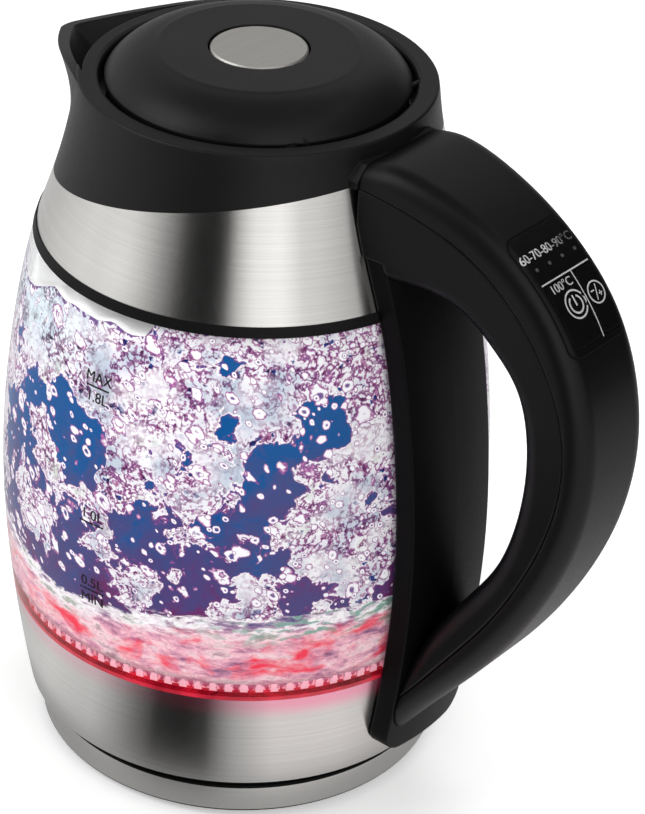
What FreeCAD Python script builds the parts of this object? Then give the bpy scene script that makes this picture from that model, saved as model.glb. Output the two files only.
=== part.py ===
import FreeCAD, Part
import functools
import math
import os

from FreeCAD import Vector

# Cordless glass kettle on a round power base, in millimetres.
# The origin is on the jug's axis at the worktop, +Z is up, the handle is at +X and the spout at -X.

# Outside of the jug as radius and height, from the foot of the lower band to the rim
BARREL = [(72.6, 18.4), (78.2, 57.5), (80.6, 100), (76.0, 155), (68.6, 189),
          (64.2, 202), (60.2, 216), (56.4, 237)]

# Power base
BASE_RADIUS = 68.2
BASE_SHEET = 0.7
BASE_FLOOR = 2.0
BASE_RING_BOTTOM = 3.6
BASE_RING_TOP = 12.4
BASE_TOP = 13.4
STAND_RIM = (60.0, 63.0)
FOOT_RADIUS = 6.0
FOOT_CIRCLE = 51.0
BASE_SCREW_CIRCLE = 55.0
BASE_SCREW_TURN = 30.0
BASE_SCREW_RADIUS = 1.35
BASE_SCREW_TOP = 10.0
CORD_RADIUS = 3.2
GLAND_RADIUS = 3.9
GLAND_LEVEL = 8.0

# Connector between base and jug
HUB_RADIUS = 15.8
HUB_TOP = 25.0
PIN_RADIUS = 3.0
PIN_TOP = 32.2
PIN_FOOT = 12.0
HUB_FLANGE = 19.0
GROOVE_FLOOR = 17.0
GROOVES = [(6.0, 8.2), (10.4, 12.8)]
BLADES = [(7.0, 7.9), (11.4, 12.5)]

# Jug, from the bottom up
JUG_FOOT = 13.7
BAND_BOTTOM = 18.4
BAND_TOP = 56.2
STEEL = 0.7
PAN_FLOOR = 46.0
PAN_SHEET = 1.2
PAN_RADIUS = 72.2
PAN_FLANGE = 76.6
GLASS_BOTTOM = 57.8
GLASS_TOP = 187.6
GLASS_WALL = 3.5
SEAL_EDGE = 185.8
NECK_BOTTOM = 189.0
CAP_HOLE = 23.2
CAP_RADIUS = 68.6
CAP_SKIRT = (66.4, 70.4)
CAP_TOP = 30.0
SOCKET_RADIUS = 22.5
SOCKET_TOP = 33.2
SOCKET_PLAY = 0.8
BLADE_FOOT = 19.5
BLADE_TOP = 30.0
CONTROL_HALF_SIZE = (22.0, 15.0)
ELEMENT_CIRCLE = 46.0
ELEMENT_RADIUS = 4.2
SENSOR_X = 58.0
SENSOR_STEM = 1.9
SENSOR_TIP = (3.2, 5.0)
SENSOR_TIP_ROUND = 1.5
LIGHT_RING = (66.5, 70.6)
LIGHT_RING_TOP = 57.0
LED_BOARD = (72.8, 76.2)
LED_LEVEL = 51.4
LED_COUNT = 16
SEAL_INSIDE = 71.0
LIP = (72.7, 73.4)
LIP_TOP = 61.3
TEETH = 96
TOOTH_REACH = 74.5

# Collar, rim and spout
COLLAR_WALL = 3.2
RIM_SHOULDER = 236.6
RIM_LEAN = 0.16
RIM_TOP = 239.6
RIM_PLATE = 4.5
RIM_EDGE = 0.5
RIM_INNER_EDGE = 54.4
MOUTH_RADIUS = 49.2
MOUTH_WALL = 2.6
MOUTH_BOTTOM = 224.0
MOUTH_EDGE = 1.4
SLANT_MIDDLE = 215.3
SLANT_SLOPE = 0.223
SPOUT_SECTIONS = [(204, 63.8), (211, 64.2), (217, 66.6), (223, 72.4), (229, 81.4), (240, 97)]
SPOUT_TIP_ROUND = 5.0
SPOUT_WALL = 2.4
TROUGH_RISE = 2.6
LIP_TIP = (-83.3, 229.2)
LIP_SLOPE = 0.27
LIP_BEND = 12.0
SHOULDER_X = 57.0
SHOULDER_TOP = 234.6
SHOULDER_HALF_WIDTH = 21.0
SHOULDER_CHAMFER = 4.5

# Handle: side view outlines, half widths along X, and the parting line
HANDLE_OUTER = [(46, 231), (57, 235), (66, 236.8), (76, 236), (86, 233.5), (98.5, 228.8),
                (116.5, 217.8), (130.5, 203), (140.3, 181), (143.2, 160), (140.5, 136),
                (130, 106.6), (109, 71.7), (92, 50), (80, 34), (70, 20)]
HANDLE_INNER = [(46, 193), (62, 197.5), (78, 200), (94, 197.5), (104.5, 190.2), (113.6, 180.8),
                (118.9, 166), (120, 152), (117.8, 132), (111.8, 113.3), (101.8, 97), (90.2, 78),
                (82, 60), (76, 46), (70, 20)]
HANDLE_HALF_WIDTH = [(40, 20.5), (75, 19.4), (100, 17.6), (125, 16.7), (150, 16.5)]
PARTING = [(40, 229.5), (62, 228), (80, 225), (96, 219.5), (110.5, 210), (123, 196.5),
           (132, 180), (135.6, 161.7), (133.8, 143), (126.5, 120), (112.7, 93), (97, 70),
           (84, 52), (74, 40), (60, 24)]
HANDLE_ROUND = 6.4
HANDLE_WALL = 2.6
FLANK_SHARE = 1.35
PARTING_GROOVE = 0.5
MOUNT_HALF_WIDTH = 19.4
MOUNT_PROUD = 7.2
MOUNT_GAP = 0.55
MOUNT_BOTTOM = 26.5
MOUNT_TOP = 206.0
MOUNT_CORNER = 7.0
HANDLE_SCREW_LEVELS = [168.0, 132.0]
HANDLE_SCREW_RADIUS = 1.5
HANDLE_SCREW_SEAT = 125.0
HANDLE_SCREW_TIP = 138.0
BOSS_RADIUS = 4.0
BOSS_SPAN = (110.0, 150.0)
LOOM_ROUTE = [(118.77, 201.47), (113.5, 196.35), (126, 184), (131, 164), (129.5, 140), (121, 113),
              (106, 87), (94, 67), (87, 53), (70, 35.3), (22, 35.3)]
LOOM_SIDE = 8.0
LOOM_RADIUS = 2.0
LOOM_PLAY = 0.6

# Control panel, in its own plane: centre, direction down the handle, then lengths along it
PANEL_CENTRE = (120.8, 211.8)
PANEL_DOWN = (0.696, -0.718)
PANEL_LENGTH = 40.0
PANEL_WIDTH = 26.5
PANEL_ROUND = 4.0
PANEL_BACK = 4.6
PANEL_STAND = 12.0
PANEL_LEDGE = 1.4
KEY_TOP = -3.0
KEY_BOTTOM = 17.6
POWER_KEY = (-11.2, 1.4)
TEMPERATURE_KEY = (3.4, 11.2)
KEY_ROUND = 2.0
KEY_GAP = 0.3
PANEL_PLAY = 0.1
BOARD_DEPTH = 7.0
BOARD_SHEET = 1.6
BOARD_HALF_SIZE = (19.0, 11.2)
LAMP_ROW = -8.7
LAMP_PLACES = [-9.0, -2.8, 3.4, 9.6]
LAMP_RADIUS = 0.6

# Lid, its hinge, button and latch
LID_RADIUS = 47.6
LID_EDGE = 237.0
LID_TOP = 248.6
LID_CREASE = 32.9
LID_CROWN = [(41.3, 245.4), (46.8, 240.4)]
LID_WALL_TOP = 239.2
LID_VAULT = [(44.2, 240.0), (39.8, 243.6)]
LID_SKIN = 2.0
LINER_RADIUS = 46.2
LINER_FLOOR = 226.0
LINER_TOP = 236.9
PIVOT = (38.0, 237.8)
HINGE_PIN_RADIUS = 1.25
HINGE_PIN = (13.0, 34.4)
HINGE_HUB = (19.5, 25.5)
HINGE_HUB_RADIUS = 3.0
RUNNING_GAP = 0.05
BUTTON_RADIUS = 15.3
BUTTON_TRAVEL = 4.0
STEM_BOTTOM = 241.0
STEM_FLANGE = 17.2
WEDGE_HALF_WIDTH = 4.0
WEDGE_RATIO = 0.75
LATCH_LEVEL = 233.0
LATCH_THICK = 3.0
LATCH_HALF_WIDTH = 7.0
LATCH_NOSE = -48.5
LATCH_TAIL = 11.0
LID_SCREW_CIRCLE = 36.0
LID_SCREW_ANGLES = [0, 125, 235]
LID_SCREW_RADIUS = 1.15
LID_POST_TOP = 245.2
LID_POST_RADIUS = 3.0

# Scale filter behind the spout
FILTER_X = -51.5
FILTER_HALF_WIDTH = 19.5
FILTER_BOTTOM = 191.0
FILTER_TOP = 222.0
FILTER_THICK = 2.4
FILTER_BORDER = 2.4
FILTER_PITCH = 3.0
FILTER_HOLE = 2.0

AXIS = Vector(0, 0, 1)
ORIGIN = Vector(0, 0, 0)


def spline(points):
    """Smooth curve through points given as (x, z) in the side view."""
    curve = Part.BSplineCurve()
    curve.interpolate([Vector(x, 0, z) for x, z in points])
    return curve


BARREL_CURVE = spline(BARREL)


def barrel_parameter(level):
    """Place on the barrel curve at a height."""
    low = BARREL_CURVE.FirstParameter
    high = BARREL_CURVE.LastParameter
    for step in range(50):
        middle = (low + high) / 2
        if BARREL_CURVE.value(middle).z < level:
            low = middle
        else:
            high = middle
    return low


def barrel_radius(level):
    """Outside radius of the jug at a height."""
    return BARREL_CURVE.value(barrel_parameter(level)).x


def turned(points):
    """Solid of revolution about the jug's axis from a closed outline of (radius, z) points."""
    corners = [Vector(r, 0, z) for r, z in points]
    outline = Part.makePolygon(corners + corners[:1])
    return Part.Face(outline).revolve(ORIGIN, AXIS, 360)


def ring(inner, outer, bottom, top):
    """Plain ring about the jug's axis."""
    return turned([(inner, bottom), (outer, bottom), (outer, top), (inner, top)])


def barrel_shell(bottom, top, outer_inset, inner_inset):
    """Wall that follows the barrel, between two insets from its outside."""
    start = barrel_parameter(bottom)
    end = barrel_parameter(top)
    outer = BARREL_CURVE.toShape(start, end)
    inner = outer.copy()
    outer.translate(Vector(-outer_inset, 0, 0))
    inner.translate(Vector(-inner_inset, 0, 0))
    low = Part.makeLine(inner.valueAt(inner.FirstParameter), outer.valueAt(outer.FirstParameter))
    high = Part.makeLine(inner.valueAt(inner.LastParameter), outer.valueAt(outer.LastParameter))
    outline = Part.Wire(Part.__sortEdges__([low, outer, high, inner]))
    return Part.Face(outline).revolve(ORIGIN, AXIS, 360)


def barrel_core(bottom, top, inset):
    """Solid body of the barrel, moved in by an inset."""
    start = barrel_parameter(bottom)
    end = barrel_parameter(top)
    side = BARREL_CURVE.toShape(start, end)
    side.translate(Vector(-inset, 0, 0))
    low = side.valueAt(side.FirstParameter)
    high = side.valueAt(side.LastParameter)
    edges = [side, Part.makeLine(high, Vector(0, 0, high.z)), Part.makeLine(Vector(0, 0, low.z), low),
             Part.makeLine(Vector(0, 0, high.z), Vector(0, 0, low.z))]
    return Part.Face(Part.Wire(Part.__sortEdges__(edges))).revolve(ORIGIN, AXIS, 360)


def post(x, y, radius, bottom, top):
    """Upright cylinder."""
    return Part.makeCylinder(radius, top - bottom, Vector(x, y, bottom), AXIS)


def block(x_low, x_high, y_low, y_high, z_low, z_high):
    """Box between two corners."""
    return Part.makeBox(x_high - x_low, y_high - y_low, z_high - z_low, Vector(x_low, y_low, z_low))


def around(count, radius, first_angle=0.0):
    """Evenly spaced places on a circle, as (angle, x, y)."""
    places = []
    for index in range(count):
        angle = first_angle + 360.0 * index / count
        turn = math.radians(angle)
        places.append((angle, radius * math.cos(turn), radius * math.sin(turn)))
    return places


def fused(shapes):
    """One solid from several that overlap or touch."""
    return shapes[0].multiFuse(shapes[1:]).removeSplitter()


def below_slant():
    """Space under the slanted joint between the upper steel band and the collar."""
    reach = 120.0
    low = 150.0
    corners = [Vector(-reach, 0, low), Vector(reach, 0, low),
               Vector(reach, 0, SLANT_MIDDLE + SLANT_SLOPE * reach),
               Vector(-reach, 0, SLANT_MIDDLE - SLANT_SLOPE * reach)]
    face = Part.Face(Part.makePolygon(corners + corners[:1]))
    face.translate(Vector(0, -reach, 0))
    return face.extrude(Vector(0, 2 * reach, 0))


def coil(radius, wire, pitch, turns):
    """Helical spring along +Z from the origin."""
    path = Part.makeHelix(pitch, pitch * turns, radius)
    section = Part.Wire(Part.makeCircle(wire / 2, Vector(radius, 0, 0), Vector(0, 1, 0)))
    return Part.Wire(path).makePipeShell([section], True, True)


def gland_bore(radius):
    """Round way through the base's wall for the cord, towards +Y."""
    return Part.makeCylinder(radius, 14, Vector(0, 57, GLAND_LEVEL), Vector(0, 1, 0))


# Power base

def base_screw_places():
    return around(4, BASE_SCREW_CIRCLE, BASE_SCREW_TURN)


def base_bottom_plate():
    inner, outer = STAND_RIM
    wall = BASE_RADIUS - BASE_SHEET - 0.1
    plate = turned([(0, BASE_FLOOR), (inner, BASE_FLOOR), (inner, 0), (outer, 0), (outer, BASE_FLOOR),
                    (wall - 0.6, BASE_FLOOR), (wall + 0.5, BASE_FLOOR + 1), (wall + 0.5, BASE_RING_BOTTOM),
                    (wall, BASE_RING_BOTTOM), (wall, GLAND_LEVEL), (wall - 2, GLAND_LEVEL),
                    (wall - 2, BASE_FLOOR + 2), (0, BASE_FLOOR + 2)])
    for angle, x, y in base_screw_places():
        plate = plate.cut(post(x, y, 1.6, 0, 8))
    return plate.cut(gland_bore(GLAND_RADIUS))


def base_feet():
    places = around(4, FOOT_CIRCLE, 75)
    return Part.makeCompound([post(x, y, FOOT_RADIUS, 0, BASE_FLOOR) for angle, x, y in places])


def base_trim_ring():
    sheet = ring(BASE_RADIUS - BASE_SHEET, BASE_RADIUS, BASE_RING_BOTTOM, BASE_RING_TOP)
    return sheet.cut(gland_bore(GLAND_RADIUS))


def base_cover():
    wall = BASE_RADIUS - BASE_SHEET - 0.1
    under = BASE_TOP - 2
    hole = HUB_RADIUS + 0.2
    shell = turned([(hole, under), (wall - 2, under), (wall - 2, GLAND_LEVEL), (wall, GLAND_LEVEL),
                    (wall, BASE_RING_TOP), (BASE_RADIUS - 0.1, BASE_RING_TOP),
                    (BASE_RADIUS - 0.1, BASE_TOP - 0.4), (BASE_RADIUS - 0.6, BASE_TOP), (hole, BASE_TOP)])
    places = base_screw_places()
    shell = fused([shell] + [post(x, y, 3.2, BASE_FLOOR + 2, under + 0.5) for angle, x, y in places])
    for angle, x, y in places:
        shell = shell.cut(post(x, y, BASE_SCREW_RADIUS, 0, BASE_SCREW_TOP))
    return shell.cut(gland_bore(GLAND_RADIUS))


def base_hub():
    low = BASE_FLOOR + 2
    under = BASE_TOP - 2
    hub = turned([(0, low), (HUB_FLANGE, low), (HUB_FLANGE, under), (HUB_RADIUS, under),
                  (HUB_RADIUS, HUB_TOP - 1.5), (HUB_RADIUS - 1.5, HUB_TOP), (0, HUB_TOP)])
    for inner, outer in GROOVES:
        hub = hub.cut(ring(inner, outer, GROOVE_FLOOR, HUB_TOP + 1))
    return hub.cut(post(0, 0, PIN_RADIUS, PIN_FOOT, HUB_TOP + 1))


def base_contacts():
    pin = turned([(0, PIN_FOOT), (PIN_RADIUS, PIN_FOOT), (PIN_RADIUS, PIN_TOP - 1.5),
                  (PIN_RADIUS - 1.2, PIN_TOP), (0, PIN_TOP)])
    sleeves = [ring(inner, inner + 0.6, GROOVE_FLOOR, HUB_TOP - 1.5) for inner, outer in GROOVES]
    return Part.makeCompound([pin] + sleeves)


def screw(x, y, head_radius, head_low, shank_radius, shank_low, shank_high):
    """Upright screw with its head at the lower end."""
    head = post(x, y, head_radius, head_low, shank_low)
    return head.fuse(post(x, y, shank_radius, shank_low, shank_high))


def base_screws():
    places = base_screw_places()
    return Part.makeCompound([screw(x, y, 2.8, 0.8, BASE_SCREW_RADIUS, BASE_FLOOR, BASE_SCREW_TOP)
                              for angle, x, y in places])


def cord_gland():
    tube = Part.makeCylinder(GLAND_RADIUS, 10, Vector(0, 59, GLAND_LEVEL), Vector(0, 1, 0))
    return tube.cut(gland_bore(CORD_RADIUS))


# Foot of the jug

def jug_base():
    inner, outer = CAP_SKIRT
    edge = CAP_RADIUS
    under = JUG_FOOT + 2
    seat = BAND_BOTTOM + STEEL + 0.1
    return turned([(CAP_HOLE, under), (edge - 6, under), (edge - 5, JUG_FOOT), (edge - 1, JUG_FOOT),
                   (edge, JUG_FOOT + 1), (edge, seat), (outer, seat), (outer, CAP_TOP), (inner, CAP_TOP),
                   (inner, under + 2), (CAP_HOLE, under + 2)])


def lower_band():
    wall = barrel_shell(BAND_BOTTOM, BAND_TOP, 0, STEEL)
    lip = ring(CAP_RADIUS + 0.4, barrel_radius(BAND_BOTTOM) - 0.2, BAND_BOTTOM, BAND_BOTTOM + STEEL)
    return fused([wall, lip]).cut(loom_way())


def heating_pan():
    top = BAND_TOP
    inside = PAN_RADIUS - PAN_SHEET
    floor = PAN_FLOOR + PAN_SHEET
    pan = turned([(0, PAN_FLOOR), (PAN_RADIUS, PAN_FLOOR), (PAN_RADIUS, top - PAN_SHEET),
                  (PAN_FLANGE, top - PAN_SHEET), (PAN_FLANGE, top), (inside, top), (inside, floor),
                  (0, floor)])
    return pan.cut(post(SENSOR_X, 0, SENSOR_STEM, PAN_FLOOR - 1, PAN_FLOOR + 3))


def heating_element():
    level = PAN_FLOOR - ELEMENT_RADIUS
    sweep = 300
    circle = Part.makeCircle(ELEMENT_RADIUS, Vector(ELEMENT_CIRCLE, 0, level), Vector(0, 1, 0))
    tube = Part.Face(Part.Wire(circle)).revolve(ORIGIN, AXIS, sweep)
    ends = []
    for angle in (4, sweep - 4):
        x = ELEMENT_CIRCLE * math.cos(math.radians(angle))
        y = ELEMENT_CIRCLE * math.sin(math.radians(angle))
        ends.append(post(x, y, 2, level - 12, level))
    return fused([tube] + ends)


def boil_control():
    half_x, half_y = CONTROL_HALF_SIZE
    return block(-half_x, half_x, -half_y, half_y, SOCKET_TOP, PAN_FLOOR)


def jug_socket():
    bore = HUB_RADIUS + SOCKET_PLAY
    pin_bore = PIN_RADIUS + 0.5
    roof = HUB_TOP + 0.6
    low = JUG_FOOT + 0.6
    flange = JUG_FOOT + 4
    outer = SOCKET_RADIUS
    body = turned([(bore, low), (outer, low), (outer, flange), (outer + 3, flange), (outer + 3, flange + 2),
                   (outer, flange + 2), (outer, SOCKET_TOP), (pin_bore, SOCKET_TOP), (pin_bore, roof),
                   (bore, roof)])
    for inside, outside in BLADES:
        body = body.cut(ring(inside, outside, HUB_TOP - 1, BLADE_TOP))
    return body


def socket_contacts():
    return Part.makeCompound([ring(inner, outer, BLADE_FOOT, BLADE_TOP) for inner, outer in BLADES])


def temperature_sensor():
    floor = PAN_FLOOR + PAN_SHEET
    radius, height = SENSOR_TIP
    thimble = post(SENSOR_X, 0, radius, floor, floor + height)
    thimble = thimble.makeFillet(SENSOR_TIP_ROUND, [thimble.Edges[0]])
    return fused([thimble, post(SENSOR_X, 0, SENSOR_STEM, PAN_FLOOR - 6, floor + 0.5)])


def light_ring():
    inner, outer = LIGHT_RING
    return ring(inner, outer, PAN_FLOOR + PAN_SHEET, LIGHT_RING_TOP)


def led_board():
    inner, outer = LED_BOARD
    return ring(inner, outer, LED_LEVEL - 1.4, LED_LEVEL)


def ring_leds():
    inner, outer = LED_BOARD
    lamps = []
    for angle, x, y in around(LED_COUNT, outer):
        lamp = block(inner + 0.4, outer - 0.4, -1.5, 1.5, LED_LEVEL, LED_LEVEL + 1.2)
        lamp.rotate(ORIGIN, AXIS, angle)
        lamps.append(lamp)
    return Part.makeCompound(lamps)


# Glass, bands and seals

def lower_seal():
    wedge = ring(SEAL_INSIDE, barrel_radius(BAND_TOP) - 0.5, BAND_TOP, GLASS_BOTTOM)
    skin = barrel_shell(BAND_TOP, GLASS_BOTTOM, 0, 1.5)
    inner, outer = LIP
    pieces = [wedge, skin, ring(inner, outer, GLASS_BOTTOM - 0.5, LIP_TOP)]
    width = math.pi * TOOTH_REACH / TEETH
    for angle, x, y in around(TEETH, TOOTH_REACH):
        tooth = block(inner + 0.2, TOOTH_REACH, -width / 2, width / 2, GLASS_BOTTOM - 0.5, LIP_TOP)
        tooth.rotate(ORIGIN, AXIS, angle)
        pieces.append(tooth)
    return fused(pieces)


def glass_body():
    wall = barrel_shell(GLASS_BOTTOM, SEAL_EDGE - 0.1, 0, GLASS_WALL)
    step = barrel_shell(SEAL_EDGE - 0.4, GLASS_TOP, 0.4, GLASS_WALL)
    return fused([wall, step])


def upper_seal():
    skirt = barrel_shell(SEAL_EDGE, NECK_BOTTOM, -0.4, 0.38)
    flange = barrel_shell(GLASS_TOP + 0.1, NECK_BOTTOM, 0.2, GLASS_WALL + 0.2)
    return fused([skirt, flange])


def upper_band():
    wall = barrel_shell(NECK_BOTTOM, RIM_SHOULDER, 0, STEEL)
    return wall.common(below_slant())


# Collar with the spout

def collar_radius(level):
    """Outside radius of the collar: the barrel's, and a straight lean above its shoulder."""
    over = max(0, level - RIM_SHOULDER)
    return barrel_radius(min(level, RIM_SHOULDER)) - RIM_LEAN * over


def spout_section(level, reach, inset):
    """Outline of the spout at a height: two flanks tangent to the neck that meet at a round tip."""
    neck = collar_radius(level) - inset
    tip_round = SPOUT_TIP_ROUND - inset
    centre = reach - SPOUT_TIP_ROUND
    lean = math.acos(min(0.999, (neck - tip_round) / centre))
    normal = Vector(-math.cos(lean), math.sin(lean), 0)
    mirror = Vector(normal.x, -normal.y, 0)
    tip = Vector(-centre, 0, 0)
    lift = Vector(0, 0, level)
    left = [normal * neck + lift, tip + normal * tip_round + lift]
    right = [mirror * neck + lift, tip + mirror * tip_round + lift]
    nose = tip + Vector(-tip_round, 0, 0) + lift
    edges = [Part.makeLine(left[0], left[1]), Part.Arc(left[1], nose, right[1]).toShape(),
             Part.makeLine(right[1], right[0]), Part.makeLine(right[0], left[0])]
    return Part.Wire(edges)


def spout_solid(inset, rise):
    """Beak-shaped solid; an inset and a rise make the trough inside it."""
    wires = []
    for level, reach in SPOUT_SECTIONS:
        wires.append(spout_section(level + rise, reach, inset))
    return Part.makeLoft(wires, True, False)


def above_lip():
    """Space over the lip of the spout, which leaves the rim level and bends down to the tip."""
    tip_x, tip_z = LIP_TIP
    level = RIM_TOP - RIM_EDGE
    knee = tip_x + (level - tip_z) / LIP_SLOPE
    start = Vector(knee - LIP_BEND, 0, level - LIP_BEND * LIP_SLOPE)
    end = Vector(knee + LIP_BEND, 0, level)
    bend = Part.BezierCurve()
    bend.setPoles([start, Vector(knee, 0, level), end])
    far = tip_x - 30
    near = tip_x + 60
    high = RIM_TOP + 60
    corners = [end, Vector(near, 0, level), Vector(near, 0, high), Vector(far, 0, high),
               Vector(far, 0, tip_z - 30 * LIP_SLOPE), start]
    outline = Part.Wire(Part.__sortEdges__([bend.toShape()] + Part.makePolygon(corners).Edges))
    face = Part.Face(outline)
    face.translate(Vector(0, -80, 0))
    return face.extrude(Vector(0, 160, 0))


def handle_shoulder():
    """Boss on the back of the collar that the top of the handle meets."""
    width = SHOULDER_HALF_WIDTH
    boss = block(40, SHOULDER_X, -width, width, 205, SHOULDER_TOP)
    upper = [edge for edge in boss.Edges
             if edge.BoundBox.ZMin > SHOULDER_TOP - 1 and edge.BoundBox.XLength > 5]
    boss = boss.makeChamfer(SHOULDER_CHAMFER, upper)
    return boss.cut(barrel_core(200, RIM_SHOULDER, 1)).cut(below_slant())


def filter_guides():
    """Ribs inside the spout that hold the filter's sides and back."""
    inner = FILTER_HALF_WIDTH + 0.3
    low = FILTER_BOTTOM + 4
    guides = []
    for side in (1, -1):
        near, far = sorted((side * inner, side * (inner + 2)))
        guides.append(block(-60, FILTER_X + FILTER_THICK, near, far, low, FILTER_TOP))
        near, far = sorted((side * (inner - 2.3), side * (inner + 1)))
        guides.append(block(FILTER_X - 2.2, FILTER_X - 0.2, near, far, low, FILTER_TOP))
    outside = barrel_core(NECK_BOTTOM + 0.1, RIM_SHOULDER, 1.5)
    return [guide.common(outside) for guide in guides]


def collar_rim():
    """Flat rim round the mouth, with the wall that hangs from it inside the neck."""
    inside = MOUTH_RADIUS
    wall = inside + MOUTH_WALL
    shoulder = collar_radius(RIM_SHOULDER)
    under = RIM_TOP - RIM_PLATE
    edge = RIM_TOP - RIM_EDGE
    outside = collar_radius(edge)
    return turned([(inside, MOUTH_BOTTOM), (wall, MOUTH_BOTTOM), (wall, under),
                   (shoulder - COLLAR_WALL, under), (shoulder - COLLAR_WALL, under + 1),
                   (shoulder, RIM_SHOULDER - 0.02), (outside, edge), (outside - RIM_EDGE, RIM_TOP),
                   (inside + MOUTH_EDGE, RIM_TOP), (inside + 0.5, RIM_TOP - 0.5),
                   (inside, RIM_TOP - MOUTH_EDGE)])


def spout_trough():
    """Way for the water inside the spout, outside the mouth's wall and the flat of the rim."""
    wall = MOUTH_RADIUS + MOUTH_WALL
    under = RIM_TOP - RIM_PLATE
    low = NECK_BOTTOM
    high = RIM_TOP + 20
    kept = turned([(0, low), (wall, low), (wall, under), (RIM_INNER_EDGE, under), (RIM_INNER_EDGE, high),
                   (0, high)])
    return spout_solid(SPOUT_WALL, TROUGH_RISE).cut(kept)


def collar():
    bottom = NECK_BOTTOM + 0.1
    skirt = barrel_shell(bottom, RIM_SHOULDER, 0, COLLAR_WALL)
    step = barrel_shell(NECK_BOTTOM - 2, RIM_SHOULDER, -1, STEEL + 0.15).common(below_slant())
    skirt = skirt.cut(step)
    neck_space = barrel_core(bottom, RIM_SHOULDER, COLLAR_WALL - 0.6)
    mouth_space = ring(0, MOUTH_RADIUS + MOUTH_WALL, NECK_BOTTOM, RIM_TOP + 20)
    beak = spout_solid(0, 0).cut(neck_space).cut(above_lip()).cut(mouth_space).cut(below_slant())
    whole = fused([skirt, collar_rim(), beak, handle_shoulder()]).cut(spout_trough())
    whole = fused([whole] + filter_guides())
    x, z = PIVOT
    whole = whole.cut(Part.makeCylinder(HINGE_PIN_RADIUS, 80, Vector(x, -40, z), Vector(0, 1, 0)))
    half_width = LATCH_HALF_WIDTH + 0.5
    pocket = block(-MOUTH_RADIUS - 1.4, -MOUTH_RADIUS + 3, -half_width, half_width,
                   LATCH_LEVEL - 0.5, LATCH_LEVEL + LATCH_THICK + 0.5)
    return whole.cut(pocket)


# Handle

def beside(points, shift):
    """Places moved off the smooth curve through the points, to its right by a shift."""
    curve = spline(points)
    moved = []
    for x, z in points:
        along = curve.tangent(curve.parameter(Vector(x, 0, z)))[0]
        moved.append((x + shift * along.z, z - shift * along.x))
    return moved


def handle_outline(inset):
    """Side view of the handle as one closed wire; an inset one ends short of the lower tip."""
    outer = HANDLE_OUTER
    inner = HANDLE_INNER
    if inset:
        outer = beside(HANDLE_OUTER, inset)[:-1]
        inner = beside(HANDLE_INNER, -inset)[:-1]
    edges = [spline(outer).toShape(), spline(inner).toShape()]
    for end in (0, -1):
        if outer[end] != inner[end]:
            edges.append(Part.makeLine(Vector(outer[end][0], 0, outer[end][1]),
                                       Vector(inner[end][0], 0, inner[end][1])))
    return Part.Wire(Part.__sortEdges__(edges))


@functools.cache
def handle_solid(inset):
    """Whole handle as one loop: rounded outside, or moved in by an inset with square edges."""
    side = Part.Face(handle_outline(inset)).extrude(Vector(0, 60, 0))
    side.translate(Vector(0, -30, 0))
    solid = side.common(handle_plan(FLANK_SHARE * inset)).Solids[0]
    if inset:
        return solid
    long_edges = [edge for edge in solid.Edges if edge.Length > 150]
    return solid.makeFillet(HANDLE_ROUND, long_edges)


def handle_plan(inset):
    """Tapering width of the handle, seen from above."""
    flank = Part.BSplineCurve()
    flank.interpolate([Vector(x, width - inset, 0) for x, width in HANDLE_HALF_WIDTH])
    left = flank.toShape()
    right = left.mirror(ORIGIN, Vector(0, 1, 0))
    near, near_width = HANDLE_HALF_WIDTH[0]
    far, far_width = HANDLE_HALF_WIDTH[-1]
    ends = [Part.makeLine(Vector(x, width - inset, 0), Vector(x, inset - width, 0))
            for x, width in ((near, near_width), (far, far_width))]
    return Part.Face(Part.Wire(Part.__sortEdges__([left, right] + ends))).extrude(Vector(0, 0, 300))


def outside_parting(shift):
    """Space outside the parting surface between the two halves of the handle."""
    curve = spline(beside(PARTING, shift)).toShape()
    start = curve.valueAt(curve.FirstParameter)
    end = curve.valueAt(curve.LastParameter)
    corners = [end, Vector(60, 0, -40), Vector(200, 0, -40), Vector(200, 0, 300), Vector(40, 0, 300),
               start]
    face = Part.Face(Part.Wire(Part.__sortEdges__([curve] + Part.makePolygon(corners).Edges)))
    face.translate(Vector(0, -40, 0))
    return face.extrude(Vector(0, 80, 0))


def jug_space():
    """Everything that the handle halves keep clear of: jug, strip and collar."""
    strip = barrel_core(BAND_BOTTOM + 0.1, MOUNT_TOP + 0.2, -MOUNT_PROUD - 0.1)
    brim = RIM_SHOULDER + 0.3
    neck = barrel_core(200, brim, -MOUNT_GAP)
    top = ring(0, barrel_radius(brim) + MOUNT_GAP, brim - 0.9, brim + 23)
    shoulder = block(0, SHOULDER_X + 0.15, -30, 30, 212, 260)
    return fused([strip, neck, top, shoulder])


def handle_mount():
    upper = MOUNT_TOP
    strip = barrel_shell(MOUNT_BOTTOM, upper, -MOUNT_PROUD, -MOUNT_GAP)
    face = block(40, 100, -MOUNT_HALF_WIDTH, MOUNT_HALF_WIDTH, MOUNT_BOTTOM, upper)
    low_edges = [edge for edge in face.Edges
                 if edge.BoundBox.ZMax < MOUNT_BOTTOM + 1 and edge.BoundBox.XLength > 10]
    face = face.makeFillet(MOUNT_CORNER, low_edges)
    return strip.common(face).cut(loom_way())


def screw_bosses(radius, start, end):
    """Cylinders across the handle where its screws go."""
    return [Part.makeCylinder(radius, end - start, Vector(start, 0, level), Vector(1, 0, 0))
            for level in HANDLE_SCREW_LEVELS]


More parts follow.
